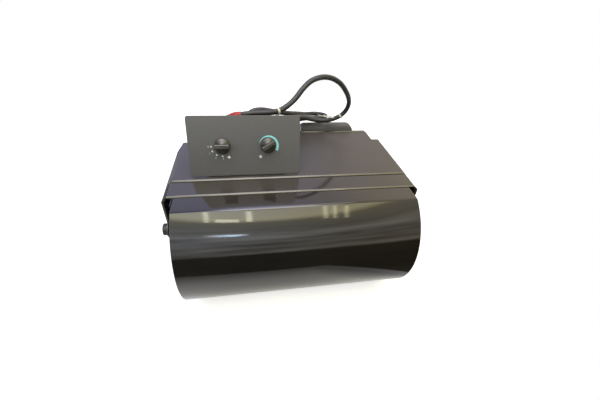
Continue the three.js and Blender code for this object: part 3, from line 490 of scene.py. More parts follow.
STEP_Y = -0.080  # where the deck steps down
CREASE_SPAN = (-0.1486, -0.1466)  # the cover's tone changes over these two millimetres
# Painted reflection: over this stretch of X the case colour is tinted from umber to a warmer brown, for
# the warmer room reflection on the right.
MIDDLE_TO_RIGHT = (0.0, 0.17)  # the tone drifts over this stretch of X
UMBER, WARM_REFLECTION_TINT = (1.06, 0.95, 0.84), (1.14, 0.95, 0.70)
# Painted light: behind the crease the gloss colour is made this much paler, for the light that the
# cover's upward flat strip catches.
PAINTED_STRIP_LIGHT = (3.1, 3.0, 2.9)  # how much paler the cover's flat strip is
SMOOTHER = 0.26  # the front strip's share of the deck's roughness
gloss = tinted(finish("polished_case", "gloss_case", ((0.009, 0.009, 0.009), (0.012, 0.012, 0.0115)),
                      0.09, (0.05, 0.09), 0.00003, 0.011, IOR=1.5, Specular_IOR_Level=0.6),
               *MIDDLE_TO_RIGHT, UMBER, WARM_REFLECTION_TINT)
satin = tinted(finish("satin_lid", "gloss_case", ((0.045, 0.045, 0.045), (0.056, 0.056, 0.055)),
                      0.12, (0.36, 0.42), 0.00004, 0.009, IOR=1.5, Specular_IOR_Level=0.6),
               *MIDDLE_TO_RIGHT, UMBER, WARM_REFLECTION_TINT)
graded(satin, STEP_Y + 0.001, STEP_Y + 0.004, SMOOTHER)
# Painted light: the gloss colour is made paler behind the crease, on the cover's flat strip.
tinted(gloss, *CREASE_SPAN, (1, 1, 1), PAINTED_STRIP_LIGHT, "Y")
matte = finish("grained_moulding", "matte_moulding", ((0.013, 0.0125, 0.0145), (0.021, 0.02, 0.022)),
               0.03, (0.42, 0.56), 0.00008, 0.0009)
outlet = finish("outlet_grain", "matte_moulding", ((0.066, 0.062, 0.066), (0.086, 0.081, 0.084)), 0.02,
                (0.40, 0.52), 0.00010, 0.0010)

# %% [markdown]
# ## The top of the case
# The lid is one thin shell: side walls, a sloping shoulder, and a flat deck that steps down once
# towards the front and again at its lip. It is a section across the case carried from front to
# back. Three sections are mixed along the way: the wide one, the one at the cut-off rear corners,
# and the narrow one of the tail. The height is the lower of the section and a deck line, so a step
# runs out over the shoulders as it does on the moulding. Cells are left out for the air slots.

# %% Sizes of the lid
lid_low, lid_high = corners("top_cover")
ASIDE = 0.0085  # the screw tabs reach this far past the walls
wall_x, deck_z, split_z, tail_y = lid_high[0] - ASIDE, lid_high[2], lid_low[2], lid_high[1]
DECK_HALF, SHOULDER, STEP = 0.1949, 0.0104, 0.00238
FRONT_Y, WIDE_BACK_Y, REAR_CUT = -0.1163, 0.0468, 0.0168
tail_x = corners("outlet_panel")[1][0]
TAIL_ROUND, SLOPE, FALL, SOFT = 0.005, 0.0026, 0.65, 0.0008
SLOT_Z = np.array([[z, z + 5] for z in 118 + 12 * np.arange(6)]) / 1000  # six slots, 12 mm apart
SLOT_Y = (-0.095, -0.033)
WALL = 0.0025
CUT_BEND = 0.0015  # a wall turns into its cut corner over this distance each way
REAR_ROLL, REAR_DROP = 0.0036, 0.0015  # the deck rolls down by this much at its rear edge
DECK_BEND, NARROW_BEND = 0.005, 0.0012  # radii where the shoulders meet the deck and the walls
print("lid", round(2 * wall_x, 4), "m wide, deck", round(deck_z, 4), "m up")


# %% Sections across the lid, and the deck line along it
def lid_section(half, shoulder, flat, radius):
    """Half of the section across the lid, from the bottom of a wall to the middle of the deck. The
    four corners give 11 points each, and the two in the middle are the bends of the shoulder."""
    wall = np.unique(np.concatenate([[split_z], SLOT_Z.ravel(), [deck_z - shoulder - 0.004]]))
    bend = filleted([[half, split_z], [half, deck_z - shoulder], [flat, deck_z], [0, deck_z]],
                    [0, radius, radius, 0], 10)[11:33]
    first, second = bend[:11], bend[11:]
    slope = first[-1] + (second[0] - first[-1]) * np.linspace(0, 1, 14)[1:-1, None]
    deck = np.column_stack([np.linspace(second[-1][0], 0, 8)[1:], np.full(7, deck_z)])
    return np.vstack([np.column_stack([np.full(len(wall), half), wall]), first, slope, second, deck])


def rolled_edge(y, drop, full):
    """Rows over an edge that faces the front, from its crest: a slope of 33 degrees, then a short
    steep drop to a shallow groove at its foot. Each row is (y, how far the deck has dropped), and
    FALL is the tangent of 33 degrees."""
    crest = [[SLOPE + 0.0007, 0], [SLOPE + 0.0002, 0.00004], [SLOPE - 0.0003, 0.00024]]
    slope = [[at, FALL * (SLOPE - at)] for at in np.linspace(SLOPE - 0.0006, 0.0004, 4)]
    brink = [[0.00022, FALL * (SLOPE - 0.0002)], [0.0001, FALL * SLOPE + 0.0001]]
    foot = [[-0.00005, 0.0006], [-0.0002, 0.0010], [-0.0005, 0.0009], [-0.0016, 0.0001], [-0.0021, 0]]
    return np.vstack([np.array(crest + slope + brink) + [y, drop], np.array(foot) + [y, full]])


def lid_rows():
    """All rows from front to back: y, drop of the deck, share of the cut corners and of the tail.
    The lip is a rolled edge without its groove. The cut starts as a curve, (away + bend)^2 over
    4 * bend, and goes on as a straight line."""
    lip = rolled_edge(FRONT_Y, STEP, 2 * STEP + 0.0002)[:10][::-1]
    lip[:, 0] = np.maximum(lip[:, 0], FRONT_Y)
    flat = [[-0.108, STEP], [SLOT_Y[0], STEP]]
    step = rolled_edge(STEP_Y, 0, STEP)[::-1]
    cut_y = WIDE_BACK_Y - REAR_CUT
    bend = [[cut_y + dy, 0] for dy in np.linspace(-CUT_BEND, CUT_BEND, 7)]
    rest = [[y, 0] for y in (0.036, 0.041, WIDE_BACK_Y - 0.0012, WIDE_BACK_Y - 0.0005)]
    front = np.vstack([lip, flat, step, [[SLOT_Y[1], 0], [0, 0]], bend, rest])
    away = front[:, 0] - cut_y
    cut = np.where(np.abs(away) < CUT_BEND, (away + CUT_BEND) ** 2 / (4 * CUT_BEND),
                   np.maximum(away, 0)) / REAR_CUT
    back = np.array([[-0.0004, 0.03], [-0.0002, 0.1], [0.0002, 0.9], [0.0004, 0.97], [0.0010, 1],
                     [0.02, 1]])
    t = np.linspace(0, np.pi / 2, 7)
    corner = np.column_stack([tail_y - TAIL_ROUND * (1 - np.sin(t)), np.zeros(7)])
    rows = [np.column_stack([front, np.clip(cut, 0, 1), np.zeros(len(front))]),
            np.column_stack([WIDE_BACK_Y + back[:, 0], np.zeros(6), np.ones(6), back[:, 1]]),
            np.column_stack([corner, np.ones((7, 2))])]
    rows = np.vstack(rows)
    rows[:, 1] += REAR_DROP * np.clip((rows[:, 0] - tail_y + REAR_ROLL) / REAR_ROLL, 0, 1) ** 1.7
    return rows


def lid_points():
    """The lid's grid. Its rows run from front to back, and its columns across from wall to wall. The
    lower of two heights a and b is a - SOFT * log(1 + exp((a - b) / SOFT)), which rounds the corner
    between them. A fading second term brings it back to the corner itself."""
    sections = [lid_section(wall_x, SHOULDER, DECK_HALF - 0.002, DECK_BEND)]
    sections += [lid_section(half, NARROW_BEND, half - NARROW_BEND, NARROW_BEND)
                 for half in (DECK_HALF, tail_x)]
    wide, cut, narrow = (np.vstack([half, (half * [-1, 1])[-2::-1]]) for half in sections)
    rows = lid_rows()
    drop, to_cut, to_tail = (rows[:, column, None, None] for column in (1, 2, 3))
    section = (wide * (1 - to_cut) + cut * to_cut) * (1 - to_tail) + narrow * to_tail
    round_the_tail = np.maximum(rows[:, :1] - (tail_y - TAIL_ROUND), 0)
    inward = TAIL_ROUND - np.sqrt(np.maximum(TAIL_ROUND**2 - round_the_tail**2, 0))
    across = section[..., 0] * (1 - inward / tail_x)
    deck = deck_z - drop[..., 0]
    gap = section[..., 1] - deck
    lowered = deck - SOFT * np.log1p(np.exp(-np.clip(gap / SOFT, -60, 60)))
    lowered += SOFT * np.log(2) * np.exp(-np.abs(gap / SOFT))
    height = np.where(gap < -6 * SOFT, section[..., 1], lowered)
    return np.stack([across, np.broadcast_to(rows[:, :1], height.shape), height], axis=-1)


# %% The lid itself
vertices, faces = grid(lid_points(), around=False)
centre = np.array([vertices[face].mean(axis=0) for face in faces])
height = centre[:, 2:]
in_slot = ((np.abs(centre[:, 0]) > wall_x - 1e-4) & (centre[:, 1] > SLOT_Y[0])
           & (centre[:, 1] < SLOT_Y[1]) & ((height > SLOT_Z[:, 0]) & (height < SLOT_Z[:, 1])).any(1))
lid = piece("lid_shell", [(vertices, [face for face, gone in zip(faces, in_slot) if not gone])], satin,
            stands_for=["top_cover"], sharp=50)
thick = lid.modifiers.new("wall", "SOLIDIFY")
thick.thickness, thick.offset = WALL, -1
rim = lid.modifiers.new("rims", "BEVEL")
rim.width, rim.segments, rim.limit_method, rim.angle_limit = 0.0006, 2, "ANGLE", np.radians(50)
lid.modifiers.new("weighted normals", "WEIGHTED_NORMAL").keep_sharp = True
print("lid", len(vertices), "points,", int(in_slot.sum()), "cells open for air")

# %% [markdown]
# Round ears carry the rubber bosses, and flat tabs take the case screws. Each is its own small
# prism that runs into the wall.

# %% Ears and tabs
boss_low, boss_high = corners("side_boss_left")
boss_y, boss_z = (boss_low[1] + boss_high[1]) / 2, (boss_low[2] + boss_high[2]) / 2
angle = np.linspace(0, 2 * np.pi, 48, endpoint=False)
EAR_R, TAB_HALF, TAB_THICK = 0.013, 0.011, 0.004
ear_ring = np.column_stack([boss_y + EAR_R * np.cos(angle), boss_z + EAR_R * np.sin(angle)])
tabs = []
for sign in (-1, 1):
    ends = sorted([sign * (wall_x - WALL), sign * wall_x])
    tabs.append(prism(ear_ring, *ends, "x"))
    for screw in ("front", "rear"):
        low, high = corners(f"case_screw_{'left' if sign < 0 else 'right'}_{screw}")
        y, inner, outer = (low[1] + high[1]) / 2, sign * (wall_x - 0.002), sign * (wall_x + ASIDE)
        outline = filleted([[inner, y - TAB_HALF], [outer, y - TAB_HALF], [outer, y + TAB_HALF],
                            [inner, y + TAB_HALF]], [0, 0.004, 0.004, 0])
        tabs.append(prism(outline, split_z, split_z + TAB_THICK, "z"))
piece("lid_ears_and_tabs", tabs, satin)
print(len(tabs), "ears and tabs")

# %% [markdown]
# A low rounded bead closes the deck where it meets the outlet moulding. It is a profile of a 35
# degree slope, a crest and a drop, carried straight across the tail.

# %% Bead at the rear of the deck
BEAD_Y, BEAD_RISE, BEAD_END = tail_y - 0.0040, 0.0012, tail_x - 0.004
bead_profile = filleted(
    [[BEAD_Y, deck_z - 0.0010], [BEAD_Y, deck_z - 0.0002], [BEAD_Y + 0.0019, deck_z + BEAD_RISE],
     [BEAD_Y + 0.0036, deck_z + BEAD_RISE], [BEAD_Y + 0.0036, deck_z - 0.0014]],
    [0, 0.0002, 0.0005, 0.0006, 0])
piece("rear_bead", [prism(bead_profile, -BEAD_END, BEAD_END, "x", 0.0006)], gloss)
print("bead", round(2 * BEAD_END, 4), "m long")

# %% [markdown]
# ## The round front cover
# The cover is a thin sheet with one profile all the way across: a flat strip tucked under the lid,
# a crease, and a long arc round the fans down to the underside. So it is a profile in the Y-Z plane
# carried along X, with the outer line first and the inner line back again.

# %% Front cover
cover_low, cover_high = corners("front_cover")
fan_y, fan_z = joints["fan_spin"]["pos_m"][1:]
COVER_R, TUCK, GAP = 0.1146, 0.012, 0.0003  # TUCK is how far the sheet runs under the lid
CREASE_ANGLE = np.radians(32.25)
strip_z = deck_z - 2 * STEP
crease_y = fan_y - COVER_R * np.sin(CREASE_ANGLE)


def cover_profile():
    """Outer line: tuck, strip, crease with a small radius, arc = centre + R (-sin a, cos a)."""
    arc = np.linspace(CREASE_ANGLE + 0.03, np.pi, 90)
    under_lid = deck_z - STEP - WALL - GAP
    tuck = np.array([[FRONT_Y + TUCK, under_lid], [FRONT_Y - GAP, under_lid], [FRONT_Y - GAP, strip_z]])
    spokes = np.column_stack([-np.sin(arc), np.cos(arc)])
    outer, inner = (radius * spokes + [fan_y, fan_z] for radius in (COVER_R, COVER_R - WALL))
    crease = np.array([crease_y, strip_z])
    t = np.linspace(0, 1, 9)[:, None]
    lead, follow = crease + [0.0035, 0], outer[0]
    bend = (1 - t) ** 2 * lead + 2 * t * (1 - t) * crease + t * t * follow
    inside = crease + [0.0008, -WALL]
    return np.vstack([tuck, bend, outer[1:], inner[::-1], inside, [FRONT_Y + TUCK, strip_z - WALL]])


piece("front_cover_shell", [prism(cover_profile(), cover_low[0], cover_high[0], "x", 0.0007)], gloss,
      stands_for=["front_cover"], sharp=30)
print("front cover", np.round(cover_high - cover_low, 4).tolist(), "m")

# %% [markdown]
# ## Lower case, ends and outlet panel
# These are plain mouldings whose faces the frame already has right. A copy with rounded edges is
# enough: real mouldings never have a knife edge, and the rounding is what catches the light.

# %% Plain mouldings
softened(["lower_case"], "lower_case_shell", gloss, 0.0008)
softened(["end_plate_left"], "end_wall_left", matte, 0.0003)
softened(["end_plate_right"], "end_wall_right", matte, 0.0003)
softened(["outlet_panel"], "outlet_moulding", outlet, 0.0010, steps=3)
softened(["drain_tray"], "water_tray", matte, 0.0003)

# %% [markdown]
# ## Rubber bosses and other turned parts
# A boss is a thick ring with a bolt hole. Its profile is rounded at every corner and turned round X.

# %% Rubber finish, bosses, grommet and drain
rubber = finish("moulded_rubber", "rubber", ((0.012, 0.012, 0.012), (0.022, 0.021, 0.02)), 0.008,
                (0.55, 0.72), 0.00008, 0.0011)
for side in ("left", "right"):
    low, high = corners(f"side_boss_{side}")
    outer = (high[2] - low[2]) / 2
    profile = filleted([[0.004, low[0]], [outer, low[0]], [outer, high[0]], [0.004, high[0]]], 0.0014)
    piece(f"bolt_boss_{side}", [turned(profile, (0, boss_y, boss_z), "x")], rubber,
          stands_for=[f"side_boss_{side}"], sharp=60)
low, high = corners("grommet")
middle = (low + high) / 2
profile = filleted([[0.0051, low[2]], [0.0096, low[2]], [0.0096, low[2] + 0.0015],
                    [0.0077, low[2] + 0.0015], [0.0077, deck_z + 0.0003], [0.0096, deck_z + 0.0003],
                    [0.0086, high[2]], [0.0051, high[2]]],
                   [0.0003, 0.0005, 0.0005, 0.0002, 0.0002, 0.0008, 0.001, 0.0006])
piece("cable_grommet", [turned(profile, (middle[0], middle[1], 0), "z", 56)], rubber,
      stands_for=["grommet"], sharp=60)
low, high = corners("drain_spout")
middle = (low + high) / 2
barb = high[0] - middle[0]
pipe_r = barb - 0.0009
profile = filleted([[pipe_r - 0.0015, low[1]], [pipe_r, low[1]], [pipe_r, high[1] - 0.008],
                    [barb, high[1] - 0.006], [pipe_r, high[1] - 0.0025], [pipe_r - 0.0003, high[1]],
                    [pipe_r - 0.0015, high[1]]], 0.0003)
piece("drain_pipe", [turned(profile, (middle[0], 0, middle[2]), "y", 48)], matte,
      stands_for=["drain_spout"])
print("two bosses, a grommet and a drain pipe")

# %% [markdown]
# ## The control panel
# The panel is a steel plate with a fine powder coat. It leans back on a bent bracket. Its own frame
# comes from the two knob joints: the joint axis points out of its face, X runs across it, and the
# third direction runs up it. Every printed mark is placed with these three.

# %% The panel's own directions
knob_at = {"fan": np.array(joints["fan_speed"]["pos_m"]),
           "thermostat": np.array(joints["temperature"]["pos_m"])}
OUT = np.array(joints["fan_speed"]["axis"])
OUT /= np.linalg.norm(OUT)
ACROSS = np.array([1.0, 0, 0])
UP = np.cross(OUT, ACROSS)
UP *= np.sign(UP[2])
MIDDLE = (knob_at["fan"] + knob_at["thermostat"]) / 2
plate_low, plate_high = corners("control_plate")
PLATE = {"left": plate_low[0] - MIDDLE[0], "right": plate_high[0] - MIDDLE[0], "bottom": -0.0468,
         "top": 0.0458, "thick": 0.002}


def on_panel(parts, about=MIDDLE, turn=0.0):
    """Parts whose points are (across, out, up) in the panel's frame, turned and moved into place."""
    placed = []
    for points, quads in parts:
        a = np.cos(turn) * points[:, 0] - np.sin(turn) * points[:, 2]
        u = np.sin(turn) * points[:, 0] + np.cos(turn) * points[:, 2]
        placed.append((about + a[:, None] * ACROSS + u[:, None] * UP + points[:, 1:2] * OUT, quads))
    return placed


plate_outline = filleted([[PLATE["left"], PLATE["bottom"]], [PLATE["right"], PLATE["bottom"]],
                          [PLATE["right"], PLATE["top"]], [PLATE["left"], PLATE["top"]]], 0.0045, 8)
powder = finish("powder_coat", "panel_coat", ((0.080, 0.080, 0.082), (0.104, 0.104, 0.106)), 0.0011,
                (0.44, 0.56), 0.00016, 0.0012)
piece("panel_plate", on_panel([prism(plate_outline, -PLATE["thick"], 0, "y", 0.0008)]), powder,
      stands_for=["control_plate"])
print("panel leans", round(float(np.degrees(np.arcsin(OUT[2]))), 1), "degrees")

# %% [markdown]
# ## Knobs
# Each knob is a round skirt with a tall grip bar across it. The skirt is a turned profile. The bar
# is a section with two shallow grooves along its crown, carried across the skirt and rounded at the
# ends, where it is drawn in to follow the circle.

# %% Knob finish and knobs
knob_finish = finish("satin_knob", "knob_black", ((0.034, 0.031, 0.026), (0.046, 0.042, 0.034)), 0.012,
                     (0.22, 0.30), 0.00003, 0.0012, Specular_IOR_Level=0.55)
SKIRT_R, BAR_HALF, BAR_TOP, SKIRT_TOP, DOME = 0.01225, 0.0039, 0.0165, 0.0052, 0.0058
RIBS = 36  # shallow ribs round the skirt


def rib_wave(angle, profile):
    """The skirt's radius dips by 1.8 per cent between its ribs, and only on its outer wall."""
    on_the_wall = (profile[:, :1] > 0.0116) & (profile[:, :1] < 0.0123)
    return 1 - 0.018 * on_the_wall * np.clip(np.cos(RIBS * angle), 0, 1)


def knob_parts():
    """Skirt: a turned profile with a domed face. Bar: a crowned section with two grooves, which are
    dips of the form exp(-((x - place) / width)^2), drawn in at the ends to follow the circle."""
    t = np.linspace(0, 1, 18)
    dome = np.column_stack([0.0112 * (1 - t), SKIRT_TOP + DOME * np.sin(t * np.pi / 2) ** 1.15])
    skirt = np.vstack([[[0, 0.0052], [0.0082, 0.0052], [0.0082, 0.0012], [0.0085, 0.001],
                        [SKIRT_R - 0.0002, 0.001], [SKIRT_R, 0.0013], [SKIRT_R, 0.0038],
                        [SKIRT_R - 0.0003, 0.0045], [SKIRT_R - 0.0006, 0.0049]], dome])
    body = turned(skirt, (0, 0, 0), "y", 6 * RIBS, rib_wave)
    across = np.linspace(-1, 1, 41)
    crown = BAR_TOP - 0.0012 * across**2 - 0.0008 * np.exp(-((np.abs(across) - 0.36) / 0.13) ** 2)
    side = np.array([[BAR_HALF + 0.0004, 0.005], [BAR_HALF, 0.012],
                     [BAR_HALF - 0.0001, BAR_TOP - 0.0019]])
    section = np.vstack([side, np.column_stack([across[::-1] * (BAR_HALF - 0.0006), crown]),
                         (side * [-1, 1])[::-1]])
    stations = np.sin(np.linspace(-1, 1, 29) * np.pi / 2)
    reach = np.sqrt(np.maximum(SKIRT_R**2 - section[:, 0] ** 2, 0)) - 0.0003
    reach = reach - 0.0011 * np.clip((section[:, 1] - 0.006) / 0.0105, 0, 1) ** 2
    draw = 1 - 0.12 * np.clip((np.abs(stations) - 0.97) / 0.03, 0, 1) ** 2
    out = np.broadcast_to(section[:, 1], (29, len(section))) * (0.985 + 0.015 * draw[:, None])
    rows = np.stack([stations[:, None] * reach[None], out, section[None, :, 0] * draw[:, None]], axis=-1)
    return [body, grid(rows)]


REST_TURN = {"fan": 0.0, "thermostat": np.radians(30)}
for name, dial in (("fan", "fan_dial"), ("thermostat", "thermostat_dial")):
    piece(f"{name}_grip", on_panel(knob_parts(), knob_at[name], REST_TURN[name]), knob_finish, dial,
          [f"{name}_knob"])
print("two knobs at", np.round(knob_at["fan"], 4).tolist(), np.round(knob_at["thermostat"], 4).tolist())

# %% [markdown]
# ## Printed marks
# The panel is printed in white and light blue: a wedge and a digit for each fan step, a small fan
# sign, a crescent that swells as the cooling gets stronger, and a snow star. Ink is a thin layer, so
# each mark is a flat prism a tenth of a millimetre high.

# %% Marks round the knobs
INK, LIFT = 0.00012, 0.00002  # the ink's top, and the hair between it and the plate
white_ink = finish("white_ink", "pale_tie", ((0.84, 0.85, 0.84), (0.92, 0.92, 0.91)), 0.002,
                   (0.45, 0.6), 0.00001, 0.0006)
cool_ink = finish("cool_blue_ink", "pale_tie", ((0.24, 0.72, 0.78), (0.30, 0.80, 0.85)), 0.003,
                  (0.45, 0.6), 0.00001, 0.0006)
red_ink = finish("red_ink", "red_sleeve", ((0.17, 0.03, 0.03), (0.22, 0.04, 0.04)), 0.002,
                 (0.45, 0.6), 0.00001, 0.0006)


def flat_mark(outline, radius, degrees, lie=None):
    """An outline drawn about the origin, moved out to a radius and an angle. It is turned by the
    same angle, or by `lie`."""
    a = np.radians(degrees)
    t = a if lie is None else np.radians(lie)
    turn = np.array([[np.cos(t), np.sin(t)], [-np.sin(t), np.cos(t)]])
    placed = np.asarray(outline) @ turn + radius * np.array([np.cos(a), np.sin(a)])
    return prism(placed, LIFT, INK, "y", LIFT, 1)


def digit(text, size):
    """The outline mesh of one digit from the built-in font, centred, as (across, out, up) parts."""
    curve = bpy.data.curves.new("digit", "FONT")
    curve.body, curve.size, curve.extrude = text, size, INK / 2
    curve.align_x, curve.align_y = "CENTER", "CENTER"
    holder = bpy.data.objects.new("digit", curve)
    mesh = bpy.data.meshes.new_from_object(holder)
    points = np.empty(3 * len(mesh.vertices), np.float32)
    mesh.vertices.foreach_get("co", points)
    quads = [list(face.vertices) for face in mesh.polygons]
    bpy.data.objects.remove(holder)
    bpy.data.curves.remove(curve)
    points = points.reshape(-1, 3).astype(float)
    return np.column_stack([points[:, 0], points[:, 2] + INK / 2 + LIFT, points[:, 1]]), quads


def moved(part, across, up):
    """A part moved over the panel's face."""
    return part[0] + [across, 0, up], part[1]


wedge = np.array([[-0.0010, -0.0020], [0.0012, 0.0], [-0.0010, 0.0020]])
digit_at = ((-0.0213, -0.0008), (-0.0198, -0.0112), (-0.0111, -0.0180), (0.0002, -0.0198))
fan_marks = []
for number, (degrees, away) in enumerate(((182, 0.0173), (207, 0.0178), (235, 0.0168), (268, 0.0160))):
    fan_marks.append(flat_mark(filleted(wedge, 0.0003, 3), away, degrees))
    fan_marks.append(moved(digit(str(number), 0.0032), *digit_at[number]))
turns = np.linspace(0, 2 * np.pi, 64, endpoint=False)
petals = 0.0017 + 0.0011 * np.clip(np.cos(4 * turns + 0.8 * np.cos(4 * turns)), -0.6, 1)
sign_ring = np.column_stack([petals * np.cos(turns), petals * np.sin(turns)])
fan_marks.append(flat_mark(sign_ring, 0.0197, 298, 0))
piece("fan_scale", on_panel(fan_marks, knob_at["fan"]), white_ink, sharp=30)

sweep = np.linspace(0, 1, 80)
crescent_angle = np.radians(166 - 199 * sweep)
outer_r = 0.0144 + 0.0028 * sweep**1.2
inner_r = 0.0141 - 0.0011 * np.clip(sweep / 0.35, 0, 1)
rays = np.column_stack([np.cos(crescent_angle), np.sin(crescent_angle)])
crescent = prism(np.vstack([rays * outer_r[:, None], (rays * inner_r[:, None])[::-1]]), LIFT, INK, "y",
                 LIFT, 1)
piece("cooling_crescent", on_panel([crescent], knob_at["thermostat"]), cool_ink, sharp=30)
bar = np.array([[-0.0025, -0.0005], [0.0025, -0.0005], [0.0025, 0.0005], [-0.0025, 0.0005]])
STAR_AT = (0.0219, 234)  # radius and degrees
star = [flat_mark(bar * size, *STAR_AT, lie) for size in (1, 0.45) for lie in (30, 90, 150)]
piece("snow_star", on_panel(star, knob_at["thermostat"]), white_ink, sharp=30)
dot = np.column_stack([0.0008 * np.cos(turns), 0.0008 * np.sin(turns)])
faint_ink = finish("faint_ink", "pale_tie", ((0.26, 0.27, 0.27), (0.34, 0.35, 0.35)), 0.002, (0.5, 0.6),
                   0.00001, 0.0006)
piece("off_dot", on_panel([flat_mark(dot, 0.0199, 266)], knob_at["thermostat"]), faint_ink, sharp=30)
print(len(fan_marks), "marks on the fan scale")

# %% [markdown]
# The thermostat's bar carries a small dark red pointer on its crown, which turns with it.

# %% Pointer
line = prism(np.array([[0.0070, -0.0003], [0.0100, -0.0003], [0.0100, 0.0003], [0.0070, 0.0003]]),
             BAR_TOP - 0.0004, BAR_TOP + LIFT, "y", LIFT, 1)
piece("thermostat_pointer", on_panel([line], knob_at["thermostat"], REST_TURN["thermostat"]), red_ink,
      "thermostat_dial")

# %% [markdown]
# ## Bracket, switches and screws
# The bracket is bent zinc-plated sheet. The two switch bodies are small moulded boxes. A pan-head
# screw is a height over a disc: a shallow dome with a cross-shaped recess pressed into it. Its
# shank is a short hose.

# %% Zinc finish, bracket and switch bodies
zinc = finish("zinc_plate", "steel", ((0.40, 0.40, 0.39), (0.52, 0.52, 0.50)), 0.006, (0.3, 0.45),
              0.00003, 0.0007, stretch=(1, 6, 1), Metallic=1.0)
softened(["panel_bracket"], "bent_bracket", zinc, 0.0004)
softened(["fan_switch"], "fan_switch_body", matte, 0.0008)
softened(["thermostat"], "thermostat_body", matte, 0.0008)


def screw_head(centre, radius, height):
    """A pan head along +Z: z = height * (1 - 0.45 r^4 - 0.62 * recess), where the recess is 1 inside
    two crossed bars and 0 outside them."""
    angle = np.linspace(0, 2 * np.pi, 48, endpoint=False)
    r = np.concatenate([[0.0], np.linspace(0.08, 1, 16)])[:, None]
    x, y = r * np.cos(angle), r * np.sin(angle)
    arm = np.minimum(np.abs(x), np.abs(y))
    recess = np.clip((0.17 - arm) / 0.07, 0, 1) * np.clip((0.62 - r) / 0.12, 0, 1)
    z = 1 - 0.45 * r**4 - 0.62 * recess
    rows = np.stack([x * radius, y * radius, np.broadcast_to(z * height, x.shape)], axis=-1)
    base = rows[-1:].copy()
    base[..., 2] = 0
    return grid(np.concatenate([rows[1:], base]) + np.asarray(centre))


HEAD_R, SHANK_R = 0.0036, 0.0016
heads = {f"bracket_screw_{side}": 0.0022 for side in ("left", "right")}
heads |= {f"case_screw_{side}_{end}": 0.0024 for side in ("left", "right") for end in ("front", "rear")}
for name, height in heads.items():
    low, high = corners(name)
    x, y = (low[:2] + high[:2]) / 2
    shank = hose(np.linspace([x, y, low[2] + 0.0005], [x, y, high[2] - height + 0.0002], 3), SHANK_R, 16)
    piece(f"{name}_pan", [screw_head((x, y, high[2] - height), HEAD_R, height), grid(shank)], zinc,
          stands_for=[name])
print(len(heads), "screws")

# %% [markdown]
# ## Sleeve and ties
# A red sleeve marks one spot of the harness, and two pale ties hold it. Each follows the harness, so
# it is a short hose along a stretch of the same path. A tie also has a small lock and thin tails.

# %% Sleeve and ties
red_plastic = finish("red_shrink_sleeve", "red_sleeve", ((0.36, 0.022, 0.014), (0.45, 0.035, 0.022)),
                     0.006, (0.35, 0.5), 0.00005, 0.0012)
nylon = finish("pale_nylon", "pale_tie", ((0.68, 0.66, 0.55), (0.78, 0.77, 0.68)), 0.008, (0.35, 0.5),
               0.00003, 0.0012, Subsurface_Weight=0.1, Subsurface_Scale=0.002)
run = np.concatenate([[0], np.cumsum(np.linalg.norm(np.diff(harness_path, axis=0), axis=1))])


def stretch_of_harness(start, end, steps):
    """The harness's own path between two distances from its start."""
    even = np.linspace(start, end, steps)
    return np.column_stack([np.interp(even, run, harness_path[:, axis]) for axis in range(3)])


sleeve_path = stretch_of_harness(0.086, 0.104, 13)
bulge = HARNESS_R + 0.0009 + 0.0003 * np.cos(np.linspace(-1, 1, 13) * np.pi)
red_sleeve = piece("red_marker_sleeve", [grid(hose(sleeve_path, bulge, 28))], red_plastic,
                   stands_for=["red_sleeve"])


TAIL_STEP = np.array([0.012, 0.002, -0.0018])  # between the ends of a tie's long thin tails
TIE_WIDE, TAIL_R = 0.0024, 0.0007


def tie(name, start, node_name, tail_end, count=1):
    """A narrow strap round the harness, its lock, and long thin tails in shallow arcs."""
    path = stretch_of_harness(start, start + TIE_WIDE, 5)
    way, side, up = frames_along(path)
    centre, along, out, cross = path[2], way[2], up[2], side[2]
    strap = grid(hose(path, HARNESS_R + 0.0007, 28))
    outline = filleted([[-0.0012, -0.0014], [0.0012, -0.0014], [0.0012, 0.0014], [-0.0012, 0.0014]],
                       0.0004)
    points, quads = prism(outline, HARNESS_R, HARNESS_R + 0.0020, "y", 0.0003)
    lock = (centre + points[:, :1] * along + points[:, 1:2] * out + points[:, 2:] * cross, quads)
    t = np.linspace(0, 1, 16)[:, None]
    first = centre + out * (HARNESS_R + 0.0015)
    tails = []
    for spread in range(count):
        end = np.asarray(tail_end) + spread * TAIL_STEP
        tail_path = first * (1 - t) + end * t + out * (0.012 - 0.004 * spread) * t * (1 - t)
        tails.append(grid(hose(tail_path, TAIL_R, 10)))
    return piece(name, [strap, lock, *tails], nylon, stands_for=[node_name])


# The second tie has three tails, which stick out beside the loop.
tie_one = tie("harness_tie_panel", 0.1634, "tie_panel", (-0.034, -0.012, 0.3020))
tie_two = tie("harness_tie_loop", 0.4098, "tie_loop", (0.068, 0.082, 0.2570), 3)
print("sleeve and ties on the harness")

# %% [markdown]
# ## Air vents
# A vent is a ring that turns in the case, with three level blades on a band cut from a ball, so the
# blades can tip in any direction. The ring's rim has soft grip notches: its radius dips a little
# 24 times round. The blades are thin lens shapes, and a ridged tab sits on the middle one.

# %% Vent rings and vanes
BALL_R, BORE_R, BAND_HALF = 0.0344, 0.0310, 0.009
BLADE_THICK, BLADE_DEEP = 0.0018, 0.016
GRIPS = 24  # notches round a rim


def ring_profile(low, high):
    """The ring's section: a sleeve in the case, a flange outside, and a rounded lip."""
    return filleted([[0.0350, low], [0.0390, low], [0.0390, low + 0.0183], [0.0430, low + 0.0183],
                     [0.0430, high - 0.0012], [0.0412, high], [0.0372, high], [0.0350, high - 0.0014]],
                    [0.0004, 0.0006, 0.0003, 0.0006, 0.0009, 0.0008, 0.0008, 0.0008], 5)


def rim_notches(angle, profile):
    """The rim's radius dips by under a millimetre where a finger would hold it."""
    return 1 - 0.018 * (profile[:, :1] > 0.0405) * np.clip(np.cos(GRIPS * angle), 0, 1) ** 2


